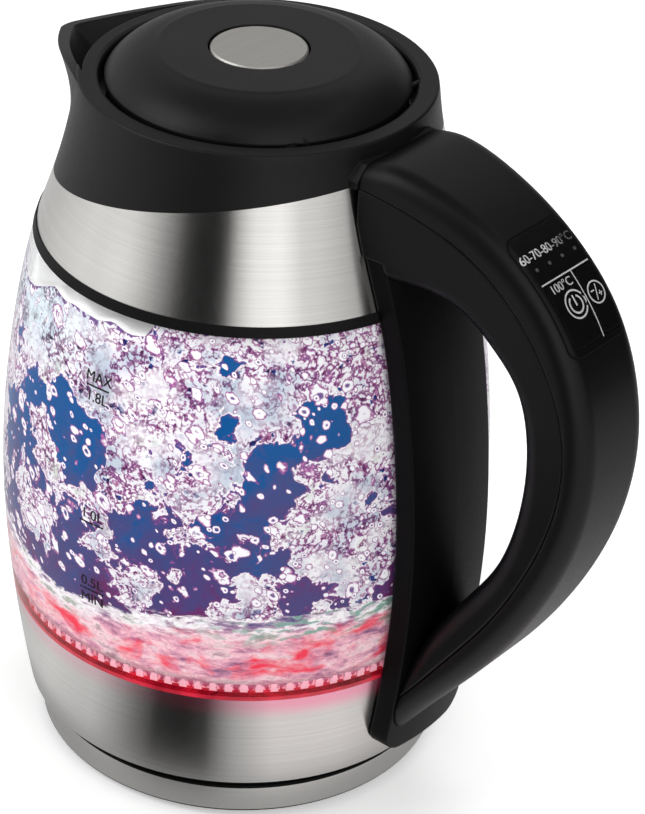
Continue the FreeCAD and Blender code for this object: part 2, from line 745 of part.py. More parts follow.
def handle_halves():
    """Inner half and outer cover, with a fine groove along the parting line."""
    outer = handle_solid(0)
    cavity = handle_solid(HANDLE_WALL)
    bosses = handle_solid(1.0).common(Part.makeCompound(screw_bosses(BOSS_RADIUS, *BOSS_SPAN)))
    shell = outer.cut(cavity)
    outside = outside_parting(0)
    groove = outside_parting(PARTING_GROOVE).cut(outside).cut(handle_solid(0.7))
    space = jug_space()
    cover = fused([shell.common(outside), bosses.common(outside)]).cut(space)
    inner = fused([shell.cut(outside), bosses.cut(outside)]).cut(space).cut(groove)
    for hole in screw_bosses(HANDLE_SCREW_RADIUS, BOSS_SPAN[0], HANDLE_SCREW_TIP + 0.5):
        cover = cover.cut(hole)
        inner = inner.cut(hole)
    for hole in screw_bosses(BOSS_RADIUS - 1, BOSS_SPAN[0], HANDLE_SCREW_SEAT):
        inner = inner.cut(hole)
    return inner, cover


def handle_screws():
    seat = HANDLE_SCREW_SEAT
    heads = screw_bosses(BOSS_RADIUS - 1.2, seat - 2.4, seat)
    shanks = screw_bosses(HANDLE_SCREW_RADIUS, seat, HANDLE_SCREW_TIP)
    return Part.makeCompound([head.fuse(shank) for head, shank in zip(heads, shanks)])


def wire_loom():
    """Bundle of wires down the handle: straight runs joined by tangent arcs."""
    points = [Vector(x, LOOM_SIDE, z) for x, z in LOOM_ROUTE]
    edges = []
    last = points[0]
    for before, corner, after in zip(points, points[1:], points[2:]):
        arrive = (corner - before).normalize()
        leave = (after - corner).normalize()
        reach = 0.45 * min(corner.distanceToPoint(before), corner.distanceToPoint(after))
        start = corner - arrive * reach
        end = corner + leave * reach
        turn = arrive.getAngle(leave)
        inward = (leave - arrive).normalize()
        bend = reach / math.tan(turn / 2)
        middle = corner + inward * (bend / math.cos(turn / 2) - bend)
        edges.append(Part.makeLine(last, start))
        edges.append(Part.Arc(start, middle, end).toShape())
        last = end
    edges.append(Part.makeLine(last, points[-1]))
    section = Part.Wire(Part.makeCircle(LOOM_RADIUS, points[0], points[1] - points[0]))
    return Part.Wire(edges).makePipeShell([section], True, False)


def loom_way():
    """Hole for the loom where it crosses the strip and the lower band."""
    (start_x, start_z), (end_x, end_z) = LOOM_ROUTE[-3:-1]
    start = Vector(start_x, LOOM_SIDE, start_z)
    run = Vector(end_x, LOOM_SIDE, end_z) - start
    return Part.makeCylinder(LOOM_RADIUS + LOOM_PLAY, run.Length, start, run)


# Control panel in the handle

def panel_frame():
    """Centre, downward direction and outward normal of the panel."""
    down = Vector(PANEL_DOWN[0], 0, PANEL_DOWN[1]).normalize()
    normal = Vector(-down.z, 0, down.x)
    return Vector(PANEL_CENTRE[0], 0, PANEL_CENTRE[1]), down, normal


def panel_prism(low, high, left, right, corner, deep, out):
    """Rounded rectangle in the panel's plane, carried through the handle's skin."""
    height = high - low
    width = right - left
    slab = Part.makeBox(height, width, deep + out, Vector(low, left, -deep))
    upright = [edge for edge in slab.Edges if edge.BoundBox.ZLength > 1]
    slab = slab.makeFillet(corner, upright)
    centre, down, normal = panel_frame()
    slab.Placement = FreeCAD.Placement(FreeCAD.Matrix(
        down.x, 0, normal.x, centre.x,
        0, 1, 0, 0,
        down.z, 0, normal.z, centre.z,
        0, 0, 0, 1))
    return slab


def panel_outline(grow, deep):
    half_length = PANEL_LENGTH / 2 + grow
    half_width = PANEL_WIDTH / 2 + grow
    corner = PANEL_ROUND + grow
    return panel_prism(-half_length, half_length, -half_width, half_width, corner, deep, PANEL_STAND)


def key_prism(sides, grow):
    left, right = sides
    return panel_prism(KEY_TOP - grow, KEY_BOTTOM + grow, left - grow, right + grow, KEY_ROUND + grow,
                       PANEL_BACK, PANEL_STAND)


def lamp_posts(radius):
    """Light pipes from the board up through the panel."""
    centre, down, normal = panel_frame()
    row = centre + down * LAMP_ROW - normal * BOARD_DEPTH
    length = BOARD_DEPTH + PANEL_STAND
    return [Part.makeCylinder(radius, length, row + Vector(0, y, 0), normal) for y in LAMP_PLACES]


def panel_pieces(cover):
    """Handle cover with a seat for the panel, then the panel, power key and temperature key."""
    solid = handle_solid(0)
    cover = cover.cut(panel_outline(PANEL_PLAY, PANEL_BACK + PANEL_PLAY))
    cover = cover.cut(panel_outline(-PANEL_LEDGE, PANEL_STAND))
    panel = solid.common(panel_outline(0, PANEL_BACK))
    pieces = []
    for sides in (POWER_KEY, TEMPERATURE_KEY):
        panel = panel.cut(key_prism(sides, KEY_GAP))
        pieces.append(solid.common(key_prism(sides, 0)))
    for bore in lamp_posts(LAMP_RADIUS + PANEL_PLAY):
        panel = panel.cut(bore)
    return cover, panel, pieces[0], pieces[1]


def control_board():
    length, width = BOARD_HALF_SIZE
    return panel_prism(-length, length, -width, width, 1, BOARD_DEPTH + BOARD_SHEET, -BOARD_DEPTH)


def indicator_leds():
    pipes = [handle_solid(0).common(pipe) for pipe in lamp_posts(LAMP_RADIUS)]
    return Part.makeCompound(pipes)


# Lid

def lid_cover():
    edge = LID_EDGE
    hole = BUTTON_RADIUS + 0.6
    slope = [(LID_CREASE, LID_TOP - 0.3)] + LID_CROWN
    outer = [(hole, LID_TOP), (LID_CREASE - 1.5, LID_TOP), slope[0]]
    crown = Part.Arc(*[Vector(r, 0, z) for r, z in slope]).toShape()
    rest = [slope[-1], (LID_RADIUS, LID_WALL_TOP), (LID_RADIUS, edge + 0.5), (LID_RADIUS - 0.5, edge),
            (LID_RADIUS - 2.2, edge), (LID_RADIUS - 2.2, LID_WALL_TOP - 0.2), *LID_VAULT,
            (LID_CREASE - 0.8, LID_TOP - LID_SKIN - 0.4), (hole + LID_SKIN, LID_TOP - LID_SKIN),
            (hole + LID_SKIN, STEM_BOTTOM + 2), (hole, STEM_BOTTOM + 2), outer[0]]
    edges = Part.makePolygon([Vector(r, 0, z) for r, z in outer]).Edges + [crown]
    edges += Part.makePolygon([Vector(r, 0, z) for r, z in rest]).Edges
    shell = Part.Face(Part.Wire(Part.__sortEdges__(edges))).revolve(ORIGIN, AXIS, 360)
    pieces = [shell]
    for angle in LID_SCREW_ANGLES:
        x, y = lid_screw_place(angle)
        pieces.append(post(x, y, LID_POST_RADIUS, LINER_FLOOR + 2, LID_POST_TOP))
    x, z = PIVOT
    for side in (1, -1):
        near, far = HINGE_HUB
        hub = Part.makeCylinder(HINGE_HUB_RADIUS, far - near, Vector(x, side * near, z), Vector(0, side, 0))
        near, far = sorted((side * near, side * far))
        web = block(x - 1.5, x + 1.5, near, far, z, 243)
        pieces += [hub, web.common(turned([(0, 200), (44, 200), (44, 241.2), (38, 245), (0, 245)]))]
    lid = fused(pieces)
    bore = HINGE_PIN_RADIUS + RUNNING_GAP
    lid = lid.cut(Part.makeCylinder(bore, 80, Vector(x, -40, z), Vector(0, 1, 0)))
    for angle in LID_SCREW_ANGLES:
        x, y = lid_screw_place(angle)
        lid = lid.cut(post(x, y, LID_SCREW_RADIUS, LINER_FLOOR, LINER_TOP - 0.9))
    return lid


def lid_screw_place(angle):
    turn = math.radians(angle)
    return LID_SCREW_CIRCLE * math.cos(turn), LID_SCREW_CIRCLE * math.sin(turn)


def lid_liner():
    floor = LINER_FLOOR
    wall = LINER_RADIUS
    cup = turned([(0, floor), (wall - 1, floor), (wall, floor + 1), (wall, floor + 2.2),
                  (wall - 1.6, floor + 2.2), (wall - 1.6, floor + 5.2), (wall, floor + 5.2),
                  (wall, LINER_TOP), (wall - 3.2, LINER_TOP), (wall - 3.2, floor + 2), (0, floor + 2)])
    stop = block(20, 23, -4, 4, floor + 1.5, LATCH_LEVEL + LATCH_THICK)
    cup = fused([cup, stop])
    x, z = PIVOT
    for side in (1, -1):
        near, far = sorted((side * 15, side * 34))
        cup = cup.cut(block(x - 5, x + 9, near, far, z - 4, z + 4))
    slot = block(-wall - 2, -wall + 6, -LATCH_HALF_WIDTH - 0.3, LATCH_HALF_WIDTH + 0.3,
                 LATCH_LEVEL - 0.3, LINER_TOP)
    cup = cup.cut(slot)
    for angle in LID_SCREW_ANGLES:
        x, y = lid_screw_place(angle)
        cup = cup.cut(post(x, y, 1.4, floor - 1, floor + 3))
    return cup


def lid_seal():
    low = LINER_FLOOR + 2.2
    wall = LINER_RADIUS
    return turned([(wall - 1.6, low), (wall + 0.4, low), (wall + 1.1, low + 1), (wall + 1.1, low + 1.6),
                   (wall + 0.2, low + 3), (wall - 1.6, low + 3)])


def lid_screws():
    screws = []
    for angle in LID_SCREW_ANGLES:
        x, y = lid_screw_place(angle)
        screws.append(screw(x, y, 2.6, LINER_FLOOR - 1.3, LID_SCREW_RADIUS, LINER_FLOOR, LINER_TOP - 1.4))
    return Part.makeCompound(screws)


def lid_pins():
    x, z = PIVOT
    pins = []
    for side in (1, -1):
        near, far = HINGE_PIN
        start = Vector(x, side * near, z)
        pins.append(Part.makeCylinder(HINGE_PIN_RADIUS, far - near, start, Vector(0, side, 0)))
    return Part.makeCompound(pins)


def lid_spring():
    x, z = PIVOT
    spring = coil(2.1, 0.7, 0.9, 5)
    spring.rotate(ORIGIN, Vector(1, 0, 0), -90)
    spring.translate(Vector(x, HINGE_PIN[0] + 1, z))
    return spring


def lid_button():
    top = LID_TOP
    low = top - 2
    return turned([(0, low), (BUTTON_RADIUS, low), (BUTTON_RADIUS, top - 0.6),
                   (BUTTON_RADIUS - 0.6, top), (0, top)])


def wedge_face(level, gap):
    """Where the sloping wedge stands at a height, measured along X."""
    return 3.0 + WEDGE_RATIO * (level - LATCH_LEVEL) + gap


def button_stem():
    cap_low = LID_TOP - 2
    wall = BUTTON_RADIUS - 0.2
    disc = turned([(0, STEM_BOTTOM), (STEM_FLANGE, STEM_BOTTOM), (STEM_FLANGE, STEM_BOTTOM + 1.7),
                   (wall, STEM_BOTTOM + 1.7), (wall, cap_low), (wall - 2, cap_low),
                   (wall - 2, STEM_BOTTOM + 2), (0, STEM_BOTTOM + 2)])
    low = LATCH_LEVEL - 0.6
    high = STEM_BOTTOM + 1
    side = WEDGE_HALF_WIDTH
    corners = [Vector(-3, -side, low), Vector(wedge_face(low, 0), -side, low),
               Vector(wedge_face(high, 0), -side, high), Vector(-3, -side, high)]
    leg = Part.Face(Part.makePolygon(corners + corners[:1])).extrude(Vector(0, 2 * side, 0))
    return fused([disc, leg])


def button_springs():
    springs = []
    floor = LINER_FLOOR + 2
    wire = 0.7
    turns = 5
    height = STEM_BOTTOM - floor - wire - 0.2
    for side in (1, -1):
        spring = coil(2.4, wire, height / turns, turns)
        spring.translate(Vector(0, side * 11, floor + wire / 2 + 0.1))
        springs.append(spring)
    return Part.makeCompound(springs)


def latch_bolt():
    low = LATCH_LEVEL
    high = low + LATCH_THICK
    bolt = block(LATCH_NOSE, LATCH_TAIL, -LATCH_HALF_WIDTH, LATCH_HALF_WIDTH, low, high)
    side = WEDGE_HALF_WIDTH + 0.4
    back = -3.6 - WEDGE_RATIO * BUTTON_TRAVEL
    corners = [Vector(back, -side, low - 1), Vector(wedge_face(low - 1, 0.3), -side, low - 1),
               Vector(wedge_face(high + 1, 0.3), -side, high + 1), Vector(back, -side, high + 1)]
    window = Part.Face(Part.makePolygon(corners + corners[:1])).extrude(Vector(0, 2 * side, 0))
    return bolt.cut(window)


def latch_spring():
    spring = coil(1.2, 0.5, 2.0, 4)
    spring.rotate(ORIGIN, Vector(0, 1, 0), 90)
    spring.translate(Vector(LATCH_TAIL + 0.5, 0, LATCH_LEVEL + LATCH_THICK / 2))
    return spring


# Scale filter

def filter_frame():
    half = FILTER_HALF_WIDTH
    frame = block(FILTER_X, FILTER_X + FILTER_THICK, -half, half, FILTER_BOTTOM, FILTER_TOP)
    border = FILTER_BORDER
    window = block(FILTER_X - 1, FILTER_X + 5, -half + border, half - border,
                   FILTER_BOTTOM + border, FILTER_TOP - border)
    face = FILTER_X + FILTER_THICK
    tab = block(face, face + 5, -6, 6, FILTER_BOTTOM, FILTER_BOTTOM + 1.6)
    return fused([frame.cut(window), tab])


def filter_mesh():
    half = FILTER_HALF_WIDTH - FILTER_BORDER
    low = FILTER_BOTTOM + FILTER_BORDER
    high = FILTER_TOP - FILTER_BORDER
    middle = FILTER_X + FILTER_THICK / 2
    sheet = block(middle - 0.2, middle + 0.2, -half, half, low, high)
    columns = int((2 * half - 1) / FILTER_PITCH)
    rows = int((high - low - 1) / FILTER_PITCH)
    holes = []
    for column in range(columns):
        y = (column - (columns - 1) / 2) * FILTER_PITCH
        for row in range(rows):
            z = (low + high) / 2 + (row - (rows - 1) / 2) * FILTER_PITCH
            size = FILTER_HOLE / 2
            holes.append(block(middle - 1, middle + 1, y - size, y + size, z - size, z + size))
    return sheet.cut(Part.makeCompound(holes))


def build():
    handle_inner, handle_cover = handle_halves()
    handle_cover, panel, power_key, temperature_key = panel_pieces(handle_cover)
    return {
        "base_bottom_plate": base_bottom_plate(),
        "base_feet": base_feet(),
        "base_trim_ring": base_trim_ring(),
        "base_cover": base_cover(),
        "base_hub": base_hub(),
        "base_contacts": base_contacts(),
        "base_screws": base_screws(),
        "cord_gland": cord_gland(),
        "jug_base": jug_base(),
        "lower_band": lower_band(),
        "heating_pan": heating_pan(),
        "heating_element": heating_element(),
        "boil_control": boil_control(),
        "jug_socket": jug_socket(),
        "socket_contacts": socket_contacts(),
        "temperature_sensor": temperature_sensor(),
        "light_ring": light_ring(),
        "led_board": led_board(),
        "ring_leds": ring_leds(),
        "lower_seal": lower_seal(),
        "glass_body": glass_body(),
        "upper_seal": upper_seal(),
        "upper_band": upper_band(),
        "collar": collar(),
        "handle_mount": handle_mount(),
        "handle_inner": handle_inner,
        "handle_cover": handle_cover,
        "handle_screws": handle_screws(),
        "control_panel": panel,
        "temperature_key": temperature_key,
        "power_key": power_key,
        "control_board": control_board(),
        "indicator_leds": indicator_leds(),
        "wire_loom": wire_loom(),
        "filter_frame": filter_frame(),
        "filter_mesh": filter_mesh(),
        "lid_cover": lid_cover(),
        "lid_liner": lid_liner(),
        "lid_seal": lid_seal(),
        "lid_screws": lid_screws(),
        "lid_pins": lid_pins(),
        "lid_spring": lid_spring(),
        "lid_button": lid_button(),
        "button_stem": button_stem(),
        "button_springs": button_springs(),
        "latch_bolt": latch_bolt(),
        "latch_spring": latch_spring(),
    }


os.makedirs("parts", exist_ok=True)
for name, shape in build().items():
    state = "ok" if shape.isValid() else "INVALID"
    print(name, state, len(shape.Solids), round(shape.Volume, 1))
    shape.exportStep("parts/" + name + ".step")
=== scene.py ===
import math

import bmesh
import bpy
from mathutils import Matrix, Vector, noise
from mathutils.bvhtree import BVHTree


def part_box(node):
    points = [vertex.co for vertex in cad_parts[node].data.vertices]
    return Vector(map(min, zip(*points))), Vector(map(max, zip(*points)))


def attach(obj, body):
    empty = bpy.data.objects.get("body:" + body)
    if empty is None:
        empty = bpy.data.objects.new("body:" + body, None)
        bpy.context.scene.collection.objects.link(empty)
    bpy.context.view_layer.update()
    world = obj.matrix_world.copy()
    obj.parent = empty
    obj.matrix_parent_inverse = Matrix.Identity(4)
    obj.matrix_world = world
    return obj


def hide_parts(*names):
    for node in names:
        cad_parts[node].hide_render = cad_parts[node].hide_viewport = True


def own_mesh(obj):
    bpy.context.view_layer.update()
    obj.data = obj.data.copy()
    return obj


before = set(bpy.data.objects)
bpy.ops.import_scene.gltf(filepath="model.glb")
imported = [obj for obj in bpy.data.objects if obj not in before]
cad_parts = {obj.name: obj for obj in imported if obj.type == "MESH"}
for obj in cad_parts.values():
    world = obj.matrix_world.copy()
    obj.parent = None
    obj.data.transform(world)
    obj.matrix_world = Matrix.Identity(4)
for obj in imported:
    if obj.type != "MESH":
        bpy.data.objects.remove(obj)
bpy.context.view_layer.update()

# Power base shells: bottom plate, top cover and the bush where the mains lead goes in.
# Black ABS moulded in a spark-eroded tool, so the skin is matte with a fine even grain,
# and the small radius on every edge draws a thin line of light.


def linear(colour):
    """Scene-linear colour of an sRGB hex value."""
    shares = [int(colour[i:i + 2], 16) / 255 for i in (1, 3, 5)]
    return [s / 12.92 if s <= 0.04045 else ((s + 0.055) / 1.055) ** 2.4 for s in shares] + [1.0]


def add(tree, kind, links=(), **settings):
    """One node with its settings; links gives each input a value, an output, or a node's first output."""
    made = tree.nodes.new("ShaderNode" + kind)
    stops = settings.pop("stops", [])
    for name, value in settings.items():
        setattr(made, name, value)
    for stop in stops[1:-1]:
        made.color_ramp.elements.new(stop[0])
    for index, (place, colour) in enumerate(stops):
        made.color_ramp.elements[index].position = place
        made.color_ramp.elements[index].color = linear(colour)
    for name, value in dict(links).items():
        if isinstance(value, bpy.types.Node):
            value = next(output for output in value.outputs if output.enabled)
        if isinstance(value, bpy.types.NodeSocket):
            tree.links.new(value, made.inputs[name])
        else:
            made.inputs[name].default_value = value
    return made


def blank(name):
    """New material, its tree, and the piece's own coordinates as the first node in it."""
    made = bpy.data.materials.new(name)
    made.use_nodes = True
    tree = made.node_tree
    tree.nodes.clear()
    return made, tree, add(tree, "TexCoord").outputs["Object"]


def show(tree, kind, links):
    """Adds the shader that a material shows, and sends it to the output."""
    shader = add(tree, kind, links)
    add(tree, "OutputMaterial", {"Surface": shader})
    return shader


def dress(finish, *names):
    """Gives CAD nodes their finish."""
    for name in names:
        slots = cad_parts[name].data.materials
        slots.clear()
        slots.append(finish)


def moulded_abs(name, dark, pale, roughness, grain_mm, edge_mm, shine):
    """Matte moulded plastic: two close tones in soft clouds, a pimpled skin and rounded edges."""
    finish, tree, place = blank(name)
    cloud = add(tree, "TexNoise", {"Vector": place, "Scale": 1000 / 30, "Detail": 3.0})
    tone = add(tree, "ValToRGB", {0: cloud}, stops=[(0.3, dark), (0.7, pale)])
    grain = add(tree, "TexNoise", {"Vector": place, "Scale": 1000 / grain_mm, "Detail": 2.0})
    sheen = add(tree, "MapRange", {"Value": grain, "From Min": 0.3, "From Max": 0.7,
                                   "To Min": roughness - 0.06, "To Max": roughness + 0.06})
    edge = add(tree, "Bevel", {"Radius": edge_mm / 1000}, samples=6)
    skin = add(tree, "Bump", {"Strength": 0.35, "Distance": grain_mm / 9000,
                              "Height": grain, "Normal": edge})
    show(tree, "BsdfPrincipled", {"Base Color": tone, "Roughness": sheen,
                                  "Specular IOR Level": shine, "Normal": skin})
    return finish


base_abs = moulded_abs("black_abs_spark_grain", "#090909", "#0e0e0f", 0.46, 0.55, 0.5, 0.06)
dress(base_abs, "base_bottom_plate", "base_cover", "cord_gland")

# Feet: four round pads of nitrile rubber pressed into the bottom plate.
# The rubber is cut from calendered sheet, dull and a little dusty, with a faint mottle.


def mottled(name, patch_mm, detail, stops, sockets, dent=0.0, depth=0.0):
    """Finish of one patchy pattern: its tones, its shader's other sockets, and dents of some depth."""
    finish, tree, place = blank(name)
    patch = add(tree, "TexNoise", {"Vector": place, "Scale": 1000 / patch_mm, "Detail": detail})
    tone = add(tree, "ValToRGB", {0: patch}, stops=stops)
    shader = show(tree, "BsdfPrincipled", {"Base Color": tone, **sockets})
    if dent:
        dents = add(tree, "Bump", {"Strength": dent, "Distance": depth, "Height": patch})
        tree.links.new(dents.outputs[0], shader.inputs["Normal"])
    return finish


rubber = mottled("nitrile_rubber_sheet", 1.2, 5.0, [(0.35, "#1b1a1a"), (0.75, "#2f2d2c")],
                 {"Roughness": 0.85}, 0.4, 0.0001)
dress(rubber, "base_feet")

# Trim ring of the base and, with the same finish, the band under the collar: stainless sheet,
# rolled round and pressed on. Both are brushed along their length, so the lines run round the
# kettle and the light spreads up and down across them.

LONG_LINES = 9.0


def brushed_steel(name, dark, pale, roughness, line_mm, along, spread):
    """Brushed stainless: fine lines along some axes; spread makes it rougher across than along."""
    finish, tree, place = blank(name)
    stretch = [LONG_LINES if axis in along else 1000 / line_mm for axis in "xyz"]
    lines = add(tree, "Mapping", {"Vector": place, "Scale": stretch})
    brush = add(tree, "TexNoise", {"Vector": lines, "Scale": 1.0, "Detail": 3.0, "Roughness": 0.7})
    cloud = add(tree, "TexNoise", {"Vector": place, "Scale": 1000 / 60, "Detail": 2.0})
    tone = add(tree, "ValToRGB", {0: brush}, stops=[(0.25, dark), (0.75, pale)])
    rough = add(tree, "MapRange", {"Value": cloud, "From Min": 0.3, "From Max": 0.7,
                                   "To Min": roughness - 0.02, "To Max": roughness + 0.02})
    scratch = add(tree, "Bump", {"Strength": 0.022, "Distance": 0.00004, "Height": brush})
    steel = show(tree, "BsdfPrincipled", {"Base Color": tone, "Metallic": 1.0, "Roughness": rough,
                                          "Anisotropic": spread, "Anisotropic Rotation": 0.25,
                                          "Normal": scratch})
    return finish, tree, place, steel


# The lines of a real finish are 0.1 mm wide; drawn at 0.25 mm they still show in a picture.
ring_steel = brushed_steel("stainless_brushed_round", "#cfcdca", "#dcdbd8", 0.23, 0.25, "xy", 0.92)[0]
dress(ring_steel, "base_trim_ring", "upper_band")

# Connector hub of the base and the socket and switch block under the jug.
# Grey-black glass-filled nylon: duller than ABS, with short pale fibres in its skin.

nylon, tree, place = blank("glass_filled_nylon")
flow = add(tree, "Mapping", {"Vector": place, "Scale": (1000 / 0.4, 1000 / 0.4, 1000 / 2.5)})
fibre = add(tree, "TexNoise", {"Vector": flow, "Scale": 1.0, "Detail": 3.0})
tone = add(tree, "ValToRGB", {0: fibre}, stops=[(0.4, "#26272a"), (0.8, "#3d3f43")])
skin = add(tree, "Bump", {"Strength": 0.3, "Distance": 0.00008, "Height": fibre})
show(tree, "BsdfPrincipled", {"Base Color": tone, "Roughness": 0.58, "Normal": skin})
dress(nylon, "base_hub", "jug_socket", "boil_control")

# Contacts of the connector: a centre pin and sleeves turned from brass, with matching blades
# in the socket. Faint turning rings and a little brown tarnish.

brass, tree, place = blank("turned_brass")
rings = add(tree, "TexWave", {"Vector": place, "Scale": 1000 / 0.8 / 20, "Distortion": 1.0},
            wave_type="BANDS", bands_direction="Z")
stain = add(tree, "TexNoise", {"Vector": place, "Scale": 1000 / 5, "Detail": 4.0})
tone = add(tree, "ValToRGB", {0: stain}, stops=[(0.35, "#9c7636"), (0.6, "#d8b25f")])
cut = add(tree, "Bump", {"Strength": 0.2, "Distance": 0.00004, "Height": rings})
show(tree, "BsdfPrincipled", {"Base Color": tone, "Metallic": 1.0, "Roughness": 0.3, "Normal": cut})
dress(brass, "base_contacts", "socket_contacts")

# Screws of the base, the handle and the lid: drawn carbon steel, bright zinc plated.
# The plating has a fine blue-grey bloom and small dull patches.


def plated_wire(name, dark, pale, smoothest, dullest):
    """Steel wire with a thin coat: a fine bloom of two tones, duller where it is pale."""
    finish, tree, place = blank(name)
    bloom = add(tree, "TexNoise", {"Vector": place, "Scale": 1000 / 1.5, "Detail": 4.0})
    tone = add(tree, "ValToRGB", {0: bloom}, stops=[(0.35, dark), (0.7, pale)])
    dull = add(tree, "MapRange", {"Value": bloom, "To Min": smoothest, "To Max": dullest})
    show(tree, "BsdfPrincipled", {"Base Color": tone, "Metallic": 1.0, "Roughness": dull})
    return finish


zinc = plated_wire("zinc_plated_wire_steel", "#a5a9ae", "#d3d6d9", 0.22, 0.5)
dress(zinc, "base_screws", "handle_screws", "lid_screws")

# Bottom cap of the jug: black ABS like the base, with a smoother tool finish.
# It closes the steel band from below and carries the socket.

cap_abs = moulded_abs("black_abs_fine_grain", "#080808", "#0c0c0d", 0.4, 0.4, 0.5, 0.06)
dress(cap_abs, "jug_base")

# Lower band: stainless sheet spun to the jug's slope and brushed round it.
# Pink light from the lamps of the ring above is painted on its top edge, in its colour and as
# a faint glow, and fades out downwards.

GLOW_RISE = (0.0455, 0.0562)
GLOW_SIDE = (0.03, 0.062)
band_steel, tree, place, steel = brushed_steel("stainless_brushed_lit", "#c9c7c5", "#d9d8d5", 0.24, 0.25,
                                               "xy", 0.92)
split = add(tree, "SeparateXYZ", {0: place})
wash = add(tree, "MapRange", {"Value": split.outputs["Z"], "From Min": GLOW_RISE[0],
                              "From Max": GLOW_RISE[1]}, interpolation_type="SMOOTHERSTEP")
share = add(tree, "MapRange", {"Value": split.outputs["X"], "From Min": GLOW_SIDE[0],
                               "From Max": GLOW_SIDE[1], "To Min": 0.4})
glow = add(tree, "Math", {0: wash, 1: share}, operation="MULTIPLY")
bare = steel.inputs["Base Color"].links[0].from_socket
# Painted light: the lamps' pink is mixed into the steel's colour and given off as a faint painted glow.
painted_pink_steel = add(tree, "Mix", {0: glow, 6: bare, 7: linear("#e2a0b4")}, data_type="RGBA")
pink = add(tree, "ValToRGB", {0: glow}, stops=[(0.0, "#000000"), (1.0, "#d84a72")])
tree.links.new(painted_pink_steel.outputs[2], steel.inputs["Base Color"])
tree.links.new(pink.outputs[0], steel.inputs["Emission Color"])
steel.inputs["Emission Strength"].default_value = 0.1
dress(band_steel, "lower_band")

# Floor of the water chamber and the parts under it: a drawn stainless pan, the sheathed ring
# element brazed below, and the probe. Heat has left straw and blue tints on the steel.

pan_steel, tree, place = blank("drawn_stainless_heat_tint")
tint = add(tree, "TexNoise", {"Vector": place, "Scale": 1000 / 28, "Detail": 4.0})
tone = add(tree, "ValToRGB", {0: tint}, stops=[(0.3, "#b9b8b4"), (0.55, "#b4a486"), (0.75, "#8d90a0")])
drawn = add(tree, "TexNoise", {"Vector": place, "Scale": 1000 / 0.7, "Detail": 3.0})
skin = add(tree, "Bump", {"Strength": 0.2, "Distance": 0.00006, "Height": drawn})
show(tree, "BsdfPrincipled", {"Base Color": tone, "Metallic": 1.0, "Roughness": 0.34, "Normal": skin})
dress(pan_steel, "heating_pan", "heating_element", "temperature_sensor")

# Light under the glass: a ring board with small lamps and a clear acrylic ring over them.
# The board is green glass-epoxy with its weave showing, and the lamps and ring are lit red.

epoxy, tree, place = blank("green_glass_epoxy_board")
weave = add(tree, "TexChecker", {"Vector": place, "Scale": 1000 / 0.8, "Color1": linear("#1c5a3a"),
                                 "Color2": linear("#247048")})
lacquer = add(tree, "TexNoise", {"Vector": place, "Scale": 1000 / 6, "Detail": 2.0})
gloss = add(tree, "MapRange", {"Value": lacquer, "To Min": 0.2, "To Max": 0.45})
show(tree, "BsdfPrincipled", {"Base Color": weave.outputs["Color"], "Roughness": gloss})
dress(epoxy, "led_board", "control_board")


def lit(name, dim, bright, speck_mm, strength):
    """Clear plastic or silicone with lamps behind it: brighter and dimmer patches of one hue."""
    finish, tree, place = blank(name)
    patch = add(tree, "TexNoise", {"Vector": place, "Scale": 1000 / speck_mm, "Detail": 3.0})
    tone = add(tree, "ValToRGB", {0: patch}, stops=[(0.35, dim), (0.65, bright)])
    show(tree, "BsdfPrincipled", {"Base Color": tone, "Roughness": 0.3, "Emission Color": tone,
                                  "Emission Strength": strength})
    return finish


dress(lit("red_lamp_epoxy", "#e01c34", "#ff6f7c", 1.5, 1.2), "ring_leds")
dress(lit("acrylic_edge_lit_pink", "#ee8494", "#ffd0d4", 2.5, 0.5), "light_ring")

# Lower seal: translucent silicone between the band and the glass, lit red from inside.
# Its skin shows outside as a red line, and its toothed lip as pink pegs behind the glass.

LIP_FOOT = 0.0578
LIP_TOP = 0.0613
TEETH = 96
seal_red, tree, place = blank("silicone_lit_red")
split = add(tree, "SeparateXYZ", {0: place})
cloud = add(tree, "TexNoise", {"Vector": place, "Scale": 1000 / 8, "Detail": 3.0})
skin = add(tree, "ValToRGB", {0: cloud}, stops=[(0.35, "#a80f28"), (0.7, "#dc2440")])
turn = add(tree, "Math", {0: split.outputs["Y"], 1: split.outputs["X"]}, operation="ARCTAN2")
count = add(tree, "Math", {0: turn, 1: TEETH / math.tau}, operation="MULTIPLY")
aside = add(tree, "Math", {0: count, 1: 0.5}, operation="PINGPONG")
taper = add(tree, "MapRange", {"Value": split.outputs["Z"], "From Min": LIP_FOOT, "From Max": LIP_TOP,
                               "To Min": 0.46, "To Max": 0.1})
crumb = add(tree, "TexNoise", {"Vector": place, "Scale": 1000 / 1.3, "Detail": 3.0})
ragged = add(tree, "MapRange", {"Value": crumb, "From Min": 0.3, "From Max": 0.7,
                                "To Min": -0.16, "To Max": 0.16})
limit = add(tree, "Math", {0: taper, 1: ragged}, operation="ADD")
spare = add(tree, "Math", {0: limit, 1: aside}, operation="SUBTRACT")
peg = add(tree, "MapRange", {"Value": spare, "From Min": -0.03, "From Max": 0.05})
rise = add(tree, "MapRange", {"Value": split.outputs["Z"], "From Min": LIP_FOOT, "From Max": LIP_TOP})
gap = add(tree, "ValToRGB", {0: rise}, stops=[(0.1, "#b83058"), (0.8, "#b9809c")])
tooth = add(tree, "Mix", {0: peg, 6: gap, 7: linear("#f6b4c3")}, data_type="RGBA")
over = add(tree, "Math", {0: split.outputs["Z"], 1: LIP_FOOT}, operation="GREATER_THAN")
tone = add(tree, "Mix", {0: over, 6: skin, 7: tooth}, data_type="RGBA")
show(tree, "BsdfPrincipled", {"Base Color": tone, "Roughness": 0.28, "Emission Color": tone,
                              "Emission Strength": 0.18})
dress(seal_red, "lower_seal")

# Glass of the jug: blown borosilicate, clear and faintly uneven, so reflections waver a little.
# Lamps shine through it to what is inside.

